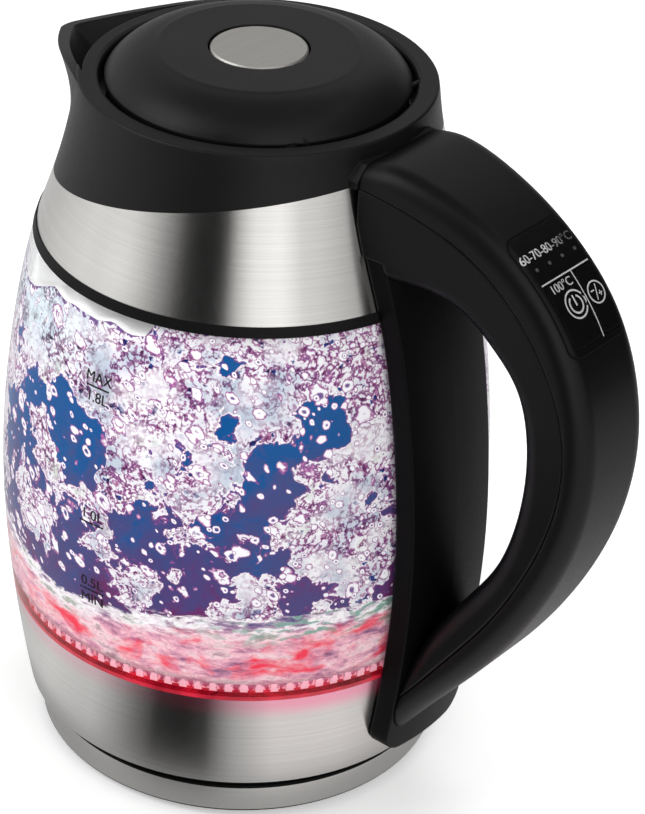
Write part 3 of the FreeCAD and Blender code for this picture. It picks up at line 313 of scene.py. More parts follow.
glass, tree, place = blank("borosilicate_blown")
ripple = add(tree, "TexNoise", {"Vector": place, "Scale": 1000 / 45, "Detail": 1.0})
waver = add(tree, "Bump", {"Strength": 0.12, "Distance": 0.001, "Height": ripple})
solid = add(tree, "BsdfPrincipled", {"Base Color": linear("#fbfdfd"), "Roughness": 0.0, "IOR": 1.22,
                                     "Transmission Weight": 1.0, "Normal": waver})
clear = add(tree, "BsdfTransparent")
lamp_ray = add(tree, "LightPath").outputs["Is Shadow Ray"]
show(tree, "MixShader", {0: lamp_ray, 1: solid, 2: clear})
dress(glass, "glass_body")

# Level marks on the glass: black enamel, screen printed on the outside and fired.
# Two lines of print at the full mark, one at the middle and two at the low mark.

enamel = mottled("fired_black_enamel", 0.6, 2.0, [(0.3, "#060607"), (0.8, "#141416")],
                 {"Roughness": 0.45, "Specular IOR Level": 0.15})


def skin_of(*names):
    """Surface of CAD nodes to cast rays at."""
    points = []
    faces = []
    for name in names:
        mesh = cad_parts[name].data
        first = len(points)
        points += [v.co.copy() for v in mesh.vertices]
        faces += [[first + i for i in p.vertices] for p in mesh.polygons]
    return BVHTree.FromPolygons(points, faces)


def doubled(shape, offset):
    """Adds a copy of a bmesh's whole shape at an offset."""
    copy = bmesh.ops.duplicate(shape, geom=[*shape.verts, *shape.edges, *shape.faces])["geom"]
    bmesh.ops.translate(shape, vec=offset, verts=[v for v in copy if isinstance(v, bmesh.types.BMVert)])


CAPITAL_SHARE = 0.69


def lettering(words, height, bold):
    """Flat mesh of words, centred, with capitals of a given height, struck twice to be bolder."""
    curve = bpy.data.curves.new("words", "FONT")
    curve.body = words
    curve.align_x = "CENTER"
    curve.size = 1 / CAPITAL_SHARE
    holder = bpy.data.objects.new("words", curve)
    made = bpy.data.meshes.new_from_object(holder)
    bpy.data.objects.remove(holder)
    bpy.data.curves.remove(curve)
    flat = bmesh.new()
    flat.from_mesh(made)
    bpy.data.meshes.remove(made)
    bmesh.ops.scale(flat, vec=(height, height, 1), verts=flat.verts)
    doubled(flat, (bold, 0, 0))
    return flat


def bar(width, height):
    """Flat rectangle about the origin."""
    flat = bmesh.new()
    bmesh.ops.create_grid(flat, x_segments=12, y_segments=12, size=0.5)
    bmesh.ops.scale(flat, vec=(width, height, 1), verts=flat.verts)
    return flat


def sheet_of(parts, right=0.0, up=0.0):
    """One flat print of several, each moved by its own offset and all of them by another."""
    sheet = bmesh.new()
    for flat, aside, over in parts:
        bmesh.ops.translate(flat, vec=(right + aside, up + over, 0), verts=flat.verts)
        made = bpy.data.meshes.new("print")
        flat.to_mesh(made)
        flat.free()
        sheet.from_mesh(made)
        bpy.data.meshes.remove(made)
    return sheet


def placed(name, shape, finish):
    """Object at the origin from a bmesh, with its finish."""
    mesh = bpy.data.meshes.new(name)
    shape.to_mesh(mesh)
    shape.free()
    mesh.materials.append(finish)
    made = bpy.data.objects.new(name, mesh)
    bpy.context.scene.collection.objects.link(made)
    return made


def piece(name, shape, finish, body):
    """Piece of the kettle from a bmesh, riding on a body."""
    made = placed(name, shape, finish)
    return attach(made, body)


INK_FILM = 0.0001


def printed(name, flat, finish, body, cast):
    """Wraps a flat print on a surface as a film of ink that faces away from it."""
    bmesh.ops.triangulate(flat, faces=flat.faces)
    outward = Vector()
    for v in flat.verts:
        hit, normal = cast(v.co.x, v.co.y)
        v.co = hit + normal * INK_FILM
        outward += normal
    bmesh.ops.recalc_face_normals(flat, faces=flat.faces)
    if sum(f.normal.dot(outward) for f in flat.faces) < 0:
        bmesh.ops.reverse_faces(flat, faces=flat.faces)
    piece(name, flat, finish, body)


MARK_RADIUS = 0.0795
CAST_RADIUS = 0.2
glass_skin = skin_of("glass_body")


def on_glass(turn, level):
    """Rule that wraps flat print round the glass at a compass angle and a height."""
    def cast(right, up):
        angle = math.radians(turn) + right / MARK_RADIUS
        out = Vector((math.cos(angle), math.sin(angle), 0))
        return glass_skin.ray_cast(out * CAST_RADIUS + Vector((0, 0, level + up)), -out)[:2]
    return cast


MARK_RULE = (0.0095, 0.0006)
MARK_CAPITALS = 0.0035
MARK_BOLD = 0.00018
OVER_RULE = 0.0014
UNDER_RULE = -0.005
# Each mark has a name, a compass angle, a height, and words over and under its rule.
MARKS = [("mark_full", -87.7, 0.1603, "MAX", "1.8L"), ("mark_middle", -86.4, 0.1136, "1.0L", ""),
         ("mark_low", -86.2, 0.0882, "0.5L", "MIN")]
for name, turn, level, over, under in MARKS:
    parts = [(bar(*MARK_RULE), 0, 0), (lettering(over, MARK_CAPITALS, MARK_BOLD), 0, OVER_RULE)]
    if under:
        parts.append((lettering(under, MARK_CAPITALS, MARK_BOLD), 0, UNDER_RULE))
    printed(name, sheet_of(parts), enamel, "jug", on_glass(turn, level))

# Boiling water of a full jug: azure high on the left, slate and violet lower down, torn
# by white froth that banks up towards the handle, with red lamp light painted over the hot floor.
# One closed skin just inside the glass, with a faint painted glow; its heaving top is pale with steam.

WATER_FOOT = 0.0474
WATER_FOOT_RADIUS = 0.0722
WATER_WALL_FOOT = 0.0615
FILL_LEVEL = 0.179
SURGE_LEVEL = 0.1868
SURGE_STARTS = (-78, -73)
SURGE_ENDS = (70, 130)
EBB = 0.0065
EBB_STARTS = (111, 127)
SWELL_MM = 22
SWELL_RISE = 0.0018
CHOP_MM = 7
CHOP_RISE = 0.0014
INTO_GLASS = 0.0003
FOOT_STEP = 0.0003
STILL_HEIGHT = 0.002
WALL_ROWS = 44
CAP_ROWS = 26
ROUND_STEPS = 200
NEAR = 1e-6


def glass_inside(level):
    """Inside radius of the glass at a height."""
    return glass_skin.ray_cast(Vector((0, 0, level)), Vector((1, 0, 0)))[0].x


def smooth(value, low, high):
    """Soft step from 0 at low to 1 at high."""
    share = min(1.0, max(0.0, (value - low) / (high - low)))
    return share * share * (3 - 2 * share)


def surface_level(x, y):
    """Height of the heaving surface: high where it boils up, lower on the spout's side."""
    angle = math.degrees(math.atan2(y, x))
    surge = smooth(angle, *SURGE_STARTS) * (1 - smooth(angle, *SURGE_ENDS))
    ebb = EBB * smooth(abs(angle), *EBB_STARTS)
    calm = FILL_LEVEL + (SURGE_LEVEL - FILL_LEVEL) * surge - ebb
    swell = noise.noise(Vector((x, y, 0.3)) * 1000 / SWELL_MM) * SWELL_RISE
    chop = noise.noise(Vector((x, y, 0.7)) * 1000 / CHOP_MM) * CHOP_RISE
    return min(SURGE_LEVEL, calm + swell + chop)


water_shape = bmesh.new()
profile = [Vector((0, 0, WATER_FOOT)), Vector((WATER_FOOT_RADIUS, 0, WATER_FOOT)),
           Vector((WATER_FOOT_RADIUS, 0, WATER_WALL_FOOT - FOOT_STEP))]
for row in range(WALL_ROWS + 1):
    level = WATER_WALL_FOOT + (FILL_LEVEL - WATER_WALL_FOOT) * row / WALL_ROWS
    profile.append(Vector((glass_inside(level) + INTO_GLASS, 0, level)))
for row in range(CAP_ROWS - 1, -1, -1):
    profile.append(Vector((profile[WALL_ROWS + 3].x * row / CAP_ROWS, 0, FILL_LEVEL)))
corners = [water_shape.verts.new(p) for p in profile]
edges = [water_shape.edges.new(pair) for pair in zip(corners, corners[1:])]
bmesh.ops.spin(water_shape, geom=corners + edges, cent=(0, 0, 0), axis=(0, 0, 1), dvec=(0, 0, 0),
               angle=math.tau, steps=ROUND_STEPS, use_merge=True, use_duplicate=False)
bmesh.ops.remove_doubles(water_shape, verts=water_shape.verts, dist=NEAR)
bmesh.ops.recalc_face_normals(water_shape, faces=water_shape.faces)
for face in water_shape.faces:
    face.smooth = True
    face.material_index = int(min(v.co.z for v in face.verts) > FILL_LEVEL - NEAR)
crest = water_shape.verts.layers.float.new("crest")
for v in water_shape.verts:
    if v.co.z < WATER_WALL_FOOT + STILL_HEIGHT:
        continue
    v[crest] = float(v.co.z > FILL_LEVEL - NEAR)
    top = surface_level(v.co.x, v.co.y)
    share = (v.co.z - WATER_WALL_FOOT) / (FILL_LEVEL - WATER_WALL_FOOT)
    full = glass_inside(v.co.z) + INTO_GLASS
    v.co.z = WATER_WALL_FOOT + share * (top - WATER_WALL_FOOT)
    grow = (glass_inside(v.co.z) + INTO_GLASS) / full
    v.co.x *= grow
    v.co.y *= grow

ACROSS = (-0.05, 0.075)
boiling, tree, place = blank("boiling_water_lit")
split = add(tree, "SeparateXYZ", {0: place})
sideways = split.outputs["X"]
upward = split.outputs["Z"]
eddy = add(tree, "TexNoise", {"Vector": place, "Scale": 1000 / 15, "Detail": 3.0})
sway = add(tree, "VectorMath", {0: eddy.outputs["Color"], 1: (0.5, 0.5, 0.5)}, operation="SUBTRACT")
torn, tossed, ruffled = [add(tree, "VectorMath", {0: sway, 1: (push, push, push), 2: place},
                             operation="MULTIPLY_ADD") for push in (0.016, 0.011, 0.005)]

# Froth: where a cloud pattern passes a limit that falls with height and towards the handle, with
# lumps thrown up in the clear water and pockets of clear water left in the froth. Each of those has
# a compass angle, a height, a reach, and what it adds to the froth there.
SWIRLS = [(-30, 0.157, 0.016, -0.26), (-43, 0.142, 0.014, -0.24), (-54, 0.1555, 0.008, -0.13),
          (-93, 0.137, 0.017, -0.24), (-52, 0.128, 0.014, -0.14), (-66, 0.139, 0.011, 0.1),
          (-82, 0.127, 0.009, 0.16), (-27, 0.117, 0.019, 0.14), (-20, 0.139, 0.012, 0.14),
          (-22, 0.1, 0.013, 0.12), (-108, 0.104, 0.012, 0.12), (-46, 0.099, 0.01, 0.08)]
bulk = add(tree, "TexNoise", {"Vector": torn, "Scale": 1000 / 20, "Detail": 7.0, "Roughness": 0.62})
rise = add(tree, "MapRange", {"Value": upward, "From Min": 0.098, "From Max": 0.17,
                              "To Min": -0.055, "To Max": 0.11})
side = add(tree, "MapRange", {"Value": sideways, "From Min": ACROSS[0], "From Max": ACROSS[1],
                              "To Min": -0.035, "To Max": 0.035})
lift = add(tree, "Math", {0: rise, 1: side}, operation="ADD")
froth = add(tree, "Math", {0: bulk, 1: lift}, operation="ADD")
for angle, level, reach, gain in SWIRLS:
    out = Vector((math.cos(math.radians(angle)), math.sin(math.radians(angle)), 0))
    middle = out * glass_inside(level) + Vector((0, 0, level))
    away = add(tree, "VectorMath", {0: tossed, 1: middle}, operation="DISTANCE")
    swirl = add(tree, "MapRange", {"Value": away, "From Min": reach, "From Max": reach / 3, "To Max": gain},
                interpolation_type="SMOOTHSTEP")
    froth = add(tree, "Math", {0: froth, 1: swirl}, operation="ADD")

# Clear water between: plum over the floor, violet, slate blue, then azure high up, in patches.
patch = add(tree, "TexNoise", {"Vector": torn, "Scale": 1000 / 12, "Detail": 5.0, "Roughness": 0.7})
drift = add(tree, "MapRange", {"Value": patch, "From Min": 0.25, "From Max": 0.75,
                               "To Min": -0.04, "To Max": 0.04})
depth = add(tree, "Math", {0: upward, 1: drift}, operation="ADD")
slope = add(tree, "MapRange", {"Value": sideways, "From Min": ACROSS[0], "From Max": ACROSS[1],
                               "To Min": 0.018, "To Max": -0.002})
deep = add(tree, "Math", {0: depth, 1: slope}, operation="ADD")
blue = add(tree, "MapRange", {"Value": deep, "From Min": 0.076, "From Max": 0.158})
water = add(tree, "ValToRGB", {0: blue}, stops=[(0.0, "#6a2c62"), (0.2, "#504074"), (0.45, "#474478"),
                                                (0.68, "#3a4a80"), (0.88, "#0c4f8c")])

# Froth itself: white to grey, veined with plum squiggles that crowd in patches, flecked with blue.
vein = add(tree, "TexNoise", {"Vector": ruffled, "Scale": 1000 / 4.6, "Detail": 3.0, "Roughness": 0.6})
veins = add(tree, "ValToRGB", {0: vein}, stops=[(0.45, "#ffffff"), (0.48, "#a45a92"), (0.5, "#7c4080"),
                                                (0.52, "#b272a2"), (0.55, "#ffffff")])
hair = add(tree, "TexNoise", {"Vector": ruffled, "Scale": 1000 / 2.2, "Detail": 2.0})
hairs = add(tree, "ValToRGB", {0: hair},
            stops=[(0.35, "#985690"), (0.42, "#ffffff"), (0.58, "#ffffff"), (0.65, "#be86ae")])
fleck = add(tree, "TexNoise", {"Vector": ruffled, "Scale": 1000 / 3.2, "Detail": 2.0})
flecks = add(tree, "ValToRGB", {0: fleck}, stops=[(0.32, "#2c3f8e"), (0.36, "#ffffff")])
haze = add(tree, "TexNoise", {"Vector": place, "Scale": 1000 / 13, "Detail": 4.0})
hazes = add(tree, "ValToRGB", {0: haze},
            stops=[(0.34, "#bcc5d2"), (0.48, "#e5e1e8"), (0.6, "#f0edf0"), (0.7, "#ced2cc")])
crowd = add(tree, "TexNoise", {"Vector": torn, "Scale": 1000 / 14, "Detail": 3.0})
thick = add(tree, "MapRange", {"Value": crowd, "From Min": 0.38, "From Max": 0.52, "To Min": 0.22})
foam = hazes
for layer in (veins, hairs, flecks):
    foam = add(tree, "Mix", {0: thick, 6: foam, 7: layer}, data_type="RGBA", blend_type="MULTIPLY")
leftward = add(tree, "MapRange", {"Value": sideways, "From Min": 0.005, "From Max": -0.03})
topmost = add(tree, "MapRange", {"Value": upward, "From Min": 0.15, "From Max": 0.166})
corner = add(tree, "Math", {0: leftward, 1: topmost}, operation="MULTIPLY")
cool = add(tree, "Math", {0: corner, 1: 0.7}, operation="MULTIPLY")
foam = add(tree, "Mix", {0: cool, 6: foam, 7: linear("#c4d4de")}, data_type="RGBA", blend_type="COLOR")
rim = add(tree, "ValToRGB", {0: froth}, stops=[(0.478, "#000000"), (0.495, "#ffffff")])
edged = add(tree, "Mix", {0: rim, 6: water, 7: linear("#8a4684")}, data_type="RGBA")
bank = add(tree, "MapRange", {"Value": froth, "From Min": 0.512, "From Max": 0.526})
banked = add(tree, "Mix", {0: bank, 6: linear("#f0ecf0"), 7: foam}, data_type="RGBA")
cover = add(tree, "MapRange", {"Value": froth, "From Min": 0.497, "From Max": 0.503})
colour = add(tree, "Mix", {0: cover, 6: edged, 7: banked}, data_type="RGBA")

# Single bubbles, drawn out along the current: one in each cell of a loose pattern, a white ring
# with a plum outline and a dark eye. Each pattern has a cell size in mm, the reach of its largest
# bubble in that cell, and the share of cells left empty.
BUBBLES = [(9.0, 0.34, 0.45), (5.0, 0.4, 0.35), (3.0, 0.38, 0.4)]
flow = add(tree, "Mapping", {"Vector": ruffled, "Rotation": (0, math.radians(38), 0),
                             "Scale": (1.5, 1, 1)}, vector_type="TEXTURE")
wobble = add(tree, "MapRange", {"Value": hair, "From Min": 0.3, "From Max": 0.7, "To Min": -0.07,
                                "To Max": 0.07})
for size_mm, largest, empty in BUBBLES:
    bubble = add(tree, "TexVoronoi", {"Vector": flow, "Scale": 1000 / size_mm}, feature="F1")
    draw = add(tree, "SeparateColor", {0: bubble.outputs["Color"]})
    drawn = add(tree, "MapRange", {"Value": draw, "From Min": empty, "To Min": 0.16, "To Max": largest})
    any_here = add(tree, "Math", {0: draw, 1: empty}, operation="GREATER_THAN")
    far = add(tree, "Math", {0: bubble.outputs["Distance"], 1: wobble}, operation="ADD")
    ratio = add(tree, "Math", {0: far, 1: drawn}, operation="DIVIDE")
    look = add(tree, "ValToRGB", {0: ratio}, stops=[
        (0.0, "#44548e"), (0.22, "#8a5c94"), (0.4, "#f6f3f7"), (0.76, "#f3f0f5"), (0.9, "#b0689c"),
        (1.0, "#6a4285")])
    inside = add(tree, "Math", {0: ratio, 1: 1.0}, operation="LESS_THAN")
    shown = add(tree, "Math", {0: inside, 1: any_here}, operation="MULTIPLY")
    colour = add(tree, "Mix", {0: shown, 6: colour, 7: look}, data_type="RGBA")

# Hot layer over the floor, deeper on either side: a broken white band lying flat, then streaks of
# painted pink light from the lamps below, with grey-green ones near the handle, and painted red
# lamp light in blots.
flat_place = add(tree, "Mapping", {"Vector": ruffled, "Scale": (1.0, 1.0, 3.2)})
streak = add(tree, "TexNoise", {"Vector": flat_place, "Scale": 1000 / 14, "Detail": 8.0,
                                "Roughness": 0.72})
pale = add(tree, "ValToRGB", {0: streak}, stops=[(0.36, "#5c4c84"), (0.43, "#b49cb4"), (0.49, "#faf6f8"),
                                                 (0.56, "#f4f0f2"), (0.62, "#a9b0a4")])
# Painted pink light from the lamps below, over the same streaks.
painted_pink_light = add(tree, "ValToRGB", {0: streak}, stops=[(0.33, "#80587c"), (0.41, "#c98ca6"), (0.49, "#f0b4c4"),
                                                  (0.57, "#f8dade"), (0.64, "#c49ca8")])
beside = add(tree, "Math", {0: sideways, 1: 0.012}, operation="ADD")
beside = add(tree, "Math", {0: beside}, operation="ABSOLUTE")
floor_line = add(tree, "MapRange", {"Value": beside, "From Max": 0.052, "To Min": 0.0803, "To Max": 0.0884})
ripple = add(tree, "MapRange", {"Value": streak, "From Min": 0.3, "From Max": 0.7,
                                "To Min": -0.003, "To Max": 0.003})
wavy = add(tree, "Math", {0: upward, 1: ripple}, operation="ADD")
height = add(tree, "Math", {0: wavy, 1: floor_line}, operation="SUBTRACT")
pink_light_depth = add(tree, "MapRange", {"Value": height, "From Min": -0.004, "From Max": -0.009})
hot = add(tree, "Mix", {0: pink_light_depth, 6: pale, 7: painted_pink_light}, data_type="RGBA")
moss = add(tree, "TexNoise", {"Vector": flat_place, "Scale": 1000 / 6, "Detail": 4.0})
mossy = add(tree, "MapRange", {"Value": moss, "From Min": 0.5, "From Max": 0.58})
near_handle = add(tree, "MapRange", {"Value": sideways, "From Min": 0.025, "From Max": 0.065})
upper = add(tree, "MapRange", {"Value": height, "From Min": -0.013, "From Max": -0.008})
green = add(tree, "Math", {0: mossy, 1: near_handle}, operation="MULTIPLY")
green = add(tree, "Math", {0: green, 1: upper}, operation="MULTIPLY")
hot = add(tree, "Mix", {0: green, 6: hot, 7: linear("#84ac9e")}, data_type="RGBA")
hot = add(tree, "Mix", {0: 0.16, 6: hot, 7: veins}, data_type="RGBA", blend_type="MULTIPLY")
# Painted red lamp light, in blots low over the floor.
blot_place = add(tree, "Mapping", {"Vector": torn, "Scale": (1.0, 1.0, 1.8)})
blot = add(tree, "TexNoise", {"Vector": blot_place, "Scale": 1000 / 13, "Detail": 3.0})
glow = add(tree, "MapRange", {"Value": blot, "From Min": 0.5, "From Max": 0.68})
warm = add(tree, "MapRange", {"Value": height, "From Min": -0.005, "From Max": -0.0095})
foot = add(tree, "MapRange", {"Value": upward, "From Min": 0.0625, "From Max": 0.066})
low = add(tree, "Math", {0: warm, 1: foot}, operation="MULTIPLY")
lamp_light = add(tree, "Math", {0: glow, 1: low}, operation="MULTIPLY")
lit_hot = add(tree, "Mix", {0: lamp_light, 6: hot, 7: linear("#f23a54")}, data_type="RGBA")
near_floor = add(tree, "MapRange", {"Value": height, "From Min": 0.0005, "From Max": -0.0005})
colour = add(tree, "Mix", {0: near_floor, 6: colour, 7: lit_hot}, data_type="RGBA")

# Where the water meets the glass at the top, a broken plum line.
shore = add(tree, "Attribute", attribute_name="crest").outputs["Fac"]
broken = add(tree, "MapRange", {"Value": hair, "From Min": 0.35, "From Max": 0.65,
                                "To Min": -0.5, "To Max": 0.5})
shore = add(tree, "Math", {0: shore, 1: broken}, operation="ADD")
shore = add(tree, "MapRange", {"Value": shore, "From Min": 0.74, "From Max": 0.84})
colour = add(tree, "Mix", {0: shore, 6: colour, 7: linear("#6e4a86")}, data_type="RGBA")
dimple = add(tree, "Bump", {"Strength": 0.4, "Distance": 0.0008, "Height": froth})
# The water gives off a faint painted glow in its own colours.
show(tree, "BsdfPrincipled", {"Base Color": colour, "Roughness": 0.3, "IOR": 1.33,
                              "Specular IOR Level": 0.1, "Emission Color": colour,
                              "Emission Strength": 0.05, "Normal": dimple})

# Steam over the water: pale grey wisps with a painted glow that lifts them out of shade.
steam, tree, place = blank("steam_over_water")
wisp = add(tree, "TexNoise", {"Vector": place, "Scale": 1000 / 30, "Detail": 4.0})
tone = add(tree, "ValToRGB", {0: wisp}, stops=[(0.35, "#dcdad9"), (0.65, "#ebe9e8")])
show(tree, "BsdfPrincipled", {"Base Color": tone, "Roughness": 0.6, "IOR": 1.33,
                              "Emission Color": tone, "Emission Strength": 0.25})
piece("boiling_water", water_shape, boiling, "jug").data.materials.append(steam)

# Upper seal, between the glass and the steel, and the seal round the lid: black silicone rings.
# They are moulded smooth and dull, with a little dust in the skin.

silicone = mottled("black_silicone", 0.9, 4.0, [(0.4, "#0b0b0c"), (0.8, "#151516")],
                   {"Roughness": 0.5, "Specular IOR Level": 0.12}, 0.2, 0.00008)
dress(silicone, "upper_seal", "lid_seal")

# Collar, handle and lid: black ABS with a satin spark grain, a shade greyer than the base,
# and a duller one on the handle. The parts are moulded apart and meet in fine dark seams.

satin_abs = moulded_abs("black_abs_satin", "#0e0e0f", "#141415", 0.42, 0.5, 0.7, 0.19)
dress(satin_abs, "collar", "lid_liner", "button_stem", "latch_bolt", "filter_frame")
lid_abs = moulded_abs("black_abs_satin_rolled", "#0d0d0e", "#131314", 0.38, 0.5, 0.9, 0.2)
dress(lid_abs, "lid_cover")
grip_abs = moulded_abs("black_abs_soft_matt", "#060606", "#0a0a0b", 0.38, 0.5, 1.2, 0.2)
dress(grip_abs, "handle_inner", "handle_cover")
mount_abs = moulded_abs("black_abs_deep_matt", "#060606", "#0a0a0b", 0.42, 0.5, 1.2, 0.1)
dress(mount_abs, "handle_mount")

# Control panel and its two keys: black acrylic with a smoked gloss face, let into the handle.
# The face is polished, with a slight orange-peel wave that bends reflections.

gloss, tree, place = blank("smoked_black_acrylic")
peel = add(tree, "TexNoise", {"Vector": place, "Scale": 1000 / 2.5, "Detail": 2.0})
tone = add(tree, "ValToRGB", {0: peel}, stops=[(0.3, "#070708"), (0.8, "#0b0b0c")])
edge = add(tree, "Bevel", {"Radius": 0.0003}, samples=6)
wave = add(tree, "Bump", {"Strength": 0.1, "Distance": 0.0001, "Height": peel, "Normal": edge})
show(tree, "BsdfPrincipled", {"Base Color": tone, "Roughness": 0.3,
                              "Specular IOR Level": 0.18, "Normal": wave})
dress(gloss, "control_panel", "power_key", "temperature_key")
dress(lit("smoked_lamp_epoxy", "#3a3a3a", "#565656", 0.8, 0.02), "indicator_leds")

# Print on the panel: pale grey ink, laid on with a pad. There is a scale of temperatures over four
# lamp windows, fading darker towards its right end, a T of two bars, and a round symbol on each key.

ink = mottled("pale_grey_pad_ink", 0.5, 2.0, [(0.3, "#a4a4a5"), (0.7, "#c6c6c7")], {"Roughness": 0.5})
FADE_FROM = -0.004
FADE_TO = 0.01
# The scale's ink turns darker towards its right end, flecked with specks.
fading_ink, tree, place = blank("fading_grey_pad_ink")
speck = add(tree, "TexNoise", {"Vector": place, "Scale": 1000 / 0.5, "Detail": 2.0})
across = add(tree, "SeparateXYZ", {0: place}).outputs["Y"]
thin = add(tree, "MapRange", {"Value": across, "From Min": FADE_FROM, "From Max": FADE_TO, "To Max": 0.6})
fade_and_speck = add(tree, "Math", {0: thin, 1: speck}, operation="ADD")
tone = add(tree, "ValToRGB", {0: fade_and_speck}, stops=[(0.3, "#a4a4a5"), (0.55, "#c6c6c7"), (1.0, "#4a4a4b")])
show(tree, "BsdfPrincipled", {"Base Color": tone, "Roughness": 0.5})

PANEL_CENTRE = Vector((0.1208, 0, 0.2118))
PANEL_OUT = Vector((0.718, 0, 0.696))
PANEL_UP = Vector((-0.696, 0, 0.718))
CAST_OVER = 0.02
panel_skin = skin_of("control_panel", "power_key", "temperature_key", "handle_cover")


def on_panel(right, up):
    """Rule that lays flat print on the panel and its keys, across the gaps between them."""
    spot = PANEL_CENTRE + PANEL_UP * up + Vector((0, right, 0))
    hit, normal = panel_skin.ray_cast(spot + PANEL_OUT * CAST_OVER, -PANEL_OUT)[:2]
    if hit is None:
        hit, normal = panel_skin.find_nearest(spot)[:2]
    return hit, normal


def loop_print(radius, width, start, end):
    """Flat ring, or part of one between two angles in degrees."""
    flat = bmesh.new()
    reach = [flat.verts.new((radius - width / 2, 0, 0)), flat.verts.new((radius + width / 2, 0, 0))]
    line = flat.edges.new(reach)
    turn = Matrix.Rotation(math.radians(start), 3, "Z")
    bmesh.ops.rotate(flat, cent=(0, 0, 0), matrix=turn, verts=reach)
    bmesh.ops.spin(flat, geom=[*reach, line], cent=(0, 0, 0), axis=(0, 0, 1), dvec=(0, 0, 0),
                   angle=math.radians(end - start), steps=40, use_merge=end - start >= 360,
                   use_duplicate=False)
    return flat


PANEL_BOLD = 0.00012
CROSSBAR = (0.0228, 0.00045)
CROSSBAR_LEVEL = 0.0039
STEM = (0.0004, 0.0216)
STEM_SPOT = (0.0024, -0.0071)
lines = sheet_of([(bar(*CROSSBAR), 0, CROSSBAR_LEVEL), (bar(*STEM), *STEM_SPOT)])
printed("panel_lines", lines, ink, "jug", on_panel)
SCALE_CAPITALS = 0.0028
SCALE_SPOT = (-0.0006, 0.0116)
scale = sheet_of([(lettering("60-70-80-90°C", SCALE_CAPITALS, PANEL_BOLD), 0, 0)], *SCALE_SPOT)
printed("panel_scale", scale, fading_ink, "jug", on_panel)

POWER_SPOT = (-0.0027, -0.0056)
POWER_RING = (0.0043, 0.00055)
POWER_ARC = (0.0027, 0.0006, 120, 420)
POWER_STROKE = (0.0006, 0.0034)
POWER_STROKE_UP = 0.0012
POWER_CAPITALS = 0.0027
POWER_WORDS_SPOT = (-0.0017, 0.0056)
power = sheet_of([(loop_print(*POWER_RING, 0, 360), 0, 0), (loop_print(*POWER_ARC), 0, 0),
                  (bar(*POWER_STROKE), 0, POWER_STROKE_UP),
                  (lettering("100°C", POWER_CAPITALS, PANEL_BOLD), *POWER_WORDS_SPOT)], *POWER_SPOT)
printed("power_symbol", power, ink, "power_key", on_panel)

WARM_SPOT = (0.0073, -0.0056)
WARM_RING = (0.0034, 0.0005)
SLASH = (0.0004, 0.005)
SLASH_TURN = math.radians(-20)
SIGN_STROKE = (0.0016, 0.0004)
MINUS_SPOT = (-0.0014, 0.0008)
PLUS_SPOT = (0.0014, -0.0008)
slash = bar(*SLASH)
bmesh.ops.rotate(slash, cent=(0, 0, 0), matrix=Matrix.Rotation(SLASH_TURN, 3, "Z"), verts=slash.verts)
warm = sheet_of([(loop_print(*WARM_RING, 0, 360), 0, 0), (bar(*SIGN_STROKE), *MINUS_SPOT),
                 (bar(*SIGN_STROKE), *PLUS_SPOT), (bar(*SIGN_STROKE[::-1]), *PLUS_SPOT), (slash, 0, 0)],
                *WARM_SPOT)
printed("temperature_symbol", warm, ink, "temperature_key", on_panel)

# Wires in the handle: a bundle from the board under the panel down to the switch block.
# A sleeve of black polyester braid holds it, so crossed strands catch the light in small lozenges.

sleeve, tree, place = blank("black_polyester_braid")
braid = add(tree, "TexMagic", {"Vector": place, "Scale": 1000 / 1.6}, turbulence_depth=1)
tone = add(tree, "ValToRGB", {0: braid.outputs["Fac"]}, stops=[(0.3, "#131315"), (0.8, "#2d2d31")])
strand = add(tree, "Bump", {"Strength": 0.6, "Distance": 0.0002, "Height": braid.outputs["Fac"]})
show(tree, "BsdfPrincipled", {"Base Color": tone, "Roughness": 0.7, "Normal": strand})
dress(sleeve, "wire_loom")

# Scale filter behind the spout: a sheet of stainless gauze, clipped in its plastic frame.
# The wires are rolled flat and brushed, so it is greyer and duller than the bands.

gauze = brushed_steel("stainless_gauze", "#9d9c9a", "#c9c8c5", 0.4, 0.3, "y", 0.5)[0]
dress(gauze, "filter_mesh")

# Hinge pins and hinge spring of the lid: steel wire, blackened in hot salts and oiled.
# The skin is brown-black and satin, so it disappears in the gap round the lid.

blacked = plated_wire("blackened_wire_steel", "#1a1a1b", "#2a2826", 0.35, 0.6)
dress(blacked, "lid_pins", "lid_spring")

# Lid button: a pressed stainless cap on a plastic plunger, set flush in the lid.
# It is brushed straight across, fine and soft, and looks like pewter.

cap_steel = brushed_steel("stainless_satin_cap", "#b4b2ad", "#c4c2bd", 0.45, 0.3, "y", 0.0)[0]
dress(cap_steel, "lid_button")

# Return springs of the lid button and of its latch: zinc plated wire, coiled cold.
# Two stand under the button and one lies behind the latch, each built at one fixed length.

WIRE_SIDES = 10
TURN_STEPS = 24


def coil(foot, along, reach, wire, length, turns):
    """Helical spring of round wire, from a foot along a direction, reach being its outer radius."""
    shape = bmesh.new()
    ring = bmesh.ops.create_circle(shape, segments=WIRE_SIDES, radius=wire / 2)["verts"]
    bmesh.ops.rotate(shape, cent=(0, 0, 0), matrix=Matrix.Rotation(math.pi / 2, 3, "X"), verts=ring)
    bmesh.ops.translate(shape, vec=(reach - wire / 2, 0, wire / 2), verts=ring)
    steps = TURN_STEPS * turns
    bmesh.ops.spin(shape, geom=[*ring, *shape.edges], cent=(0, 0, 0), axis=(0, 0, 1),
                   dvec=(0, 0, (length - wire) / steps), angle=math.tau * turns, steps=steps,
                   use_merge=False, use_duplicate=False)
    bmesh.ops.holes_fill(shape, edges=[e for e in shape.edges if e.is_boundary])
    bmesh.ops.recalc_face_normals(shape, faces=shape.faces)
    for face in shape.faces:
        face.smooth = len(face.verts) == 4
    turn = Vector((0, 0, 1)).rotation_difference(along).to_matrix()
    bmesh.ops.rotate(shape, cent=(0, 0, 0), matrix=turn, verts=shape.verts)
    bmesh.ops.translate(shape, vec=foot, verts=shape.verts)
    return shape


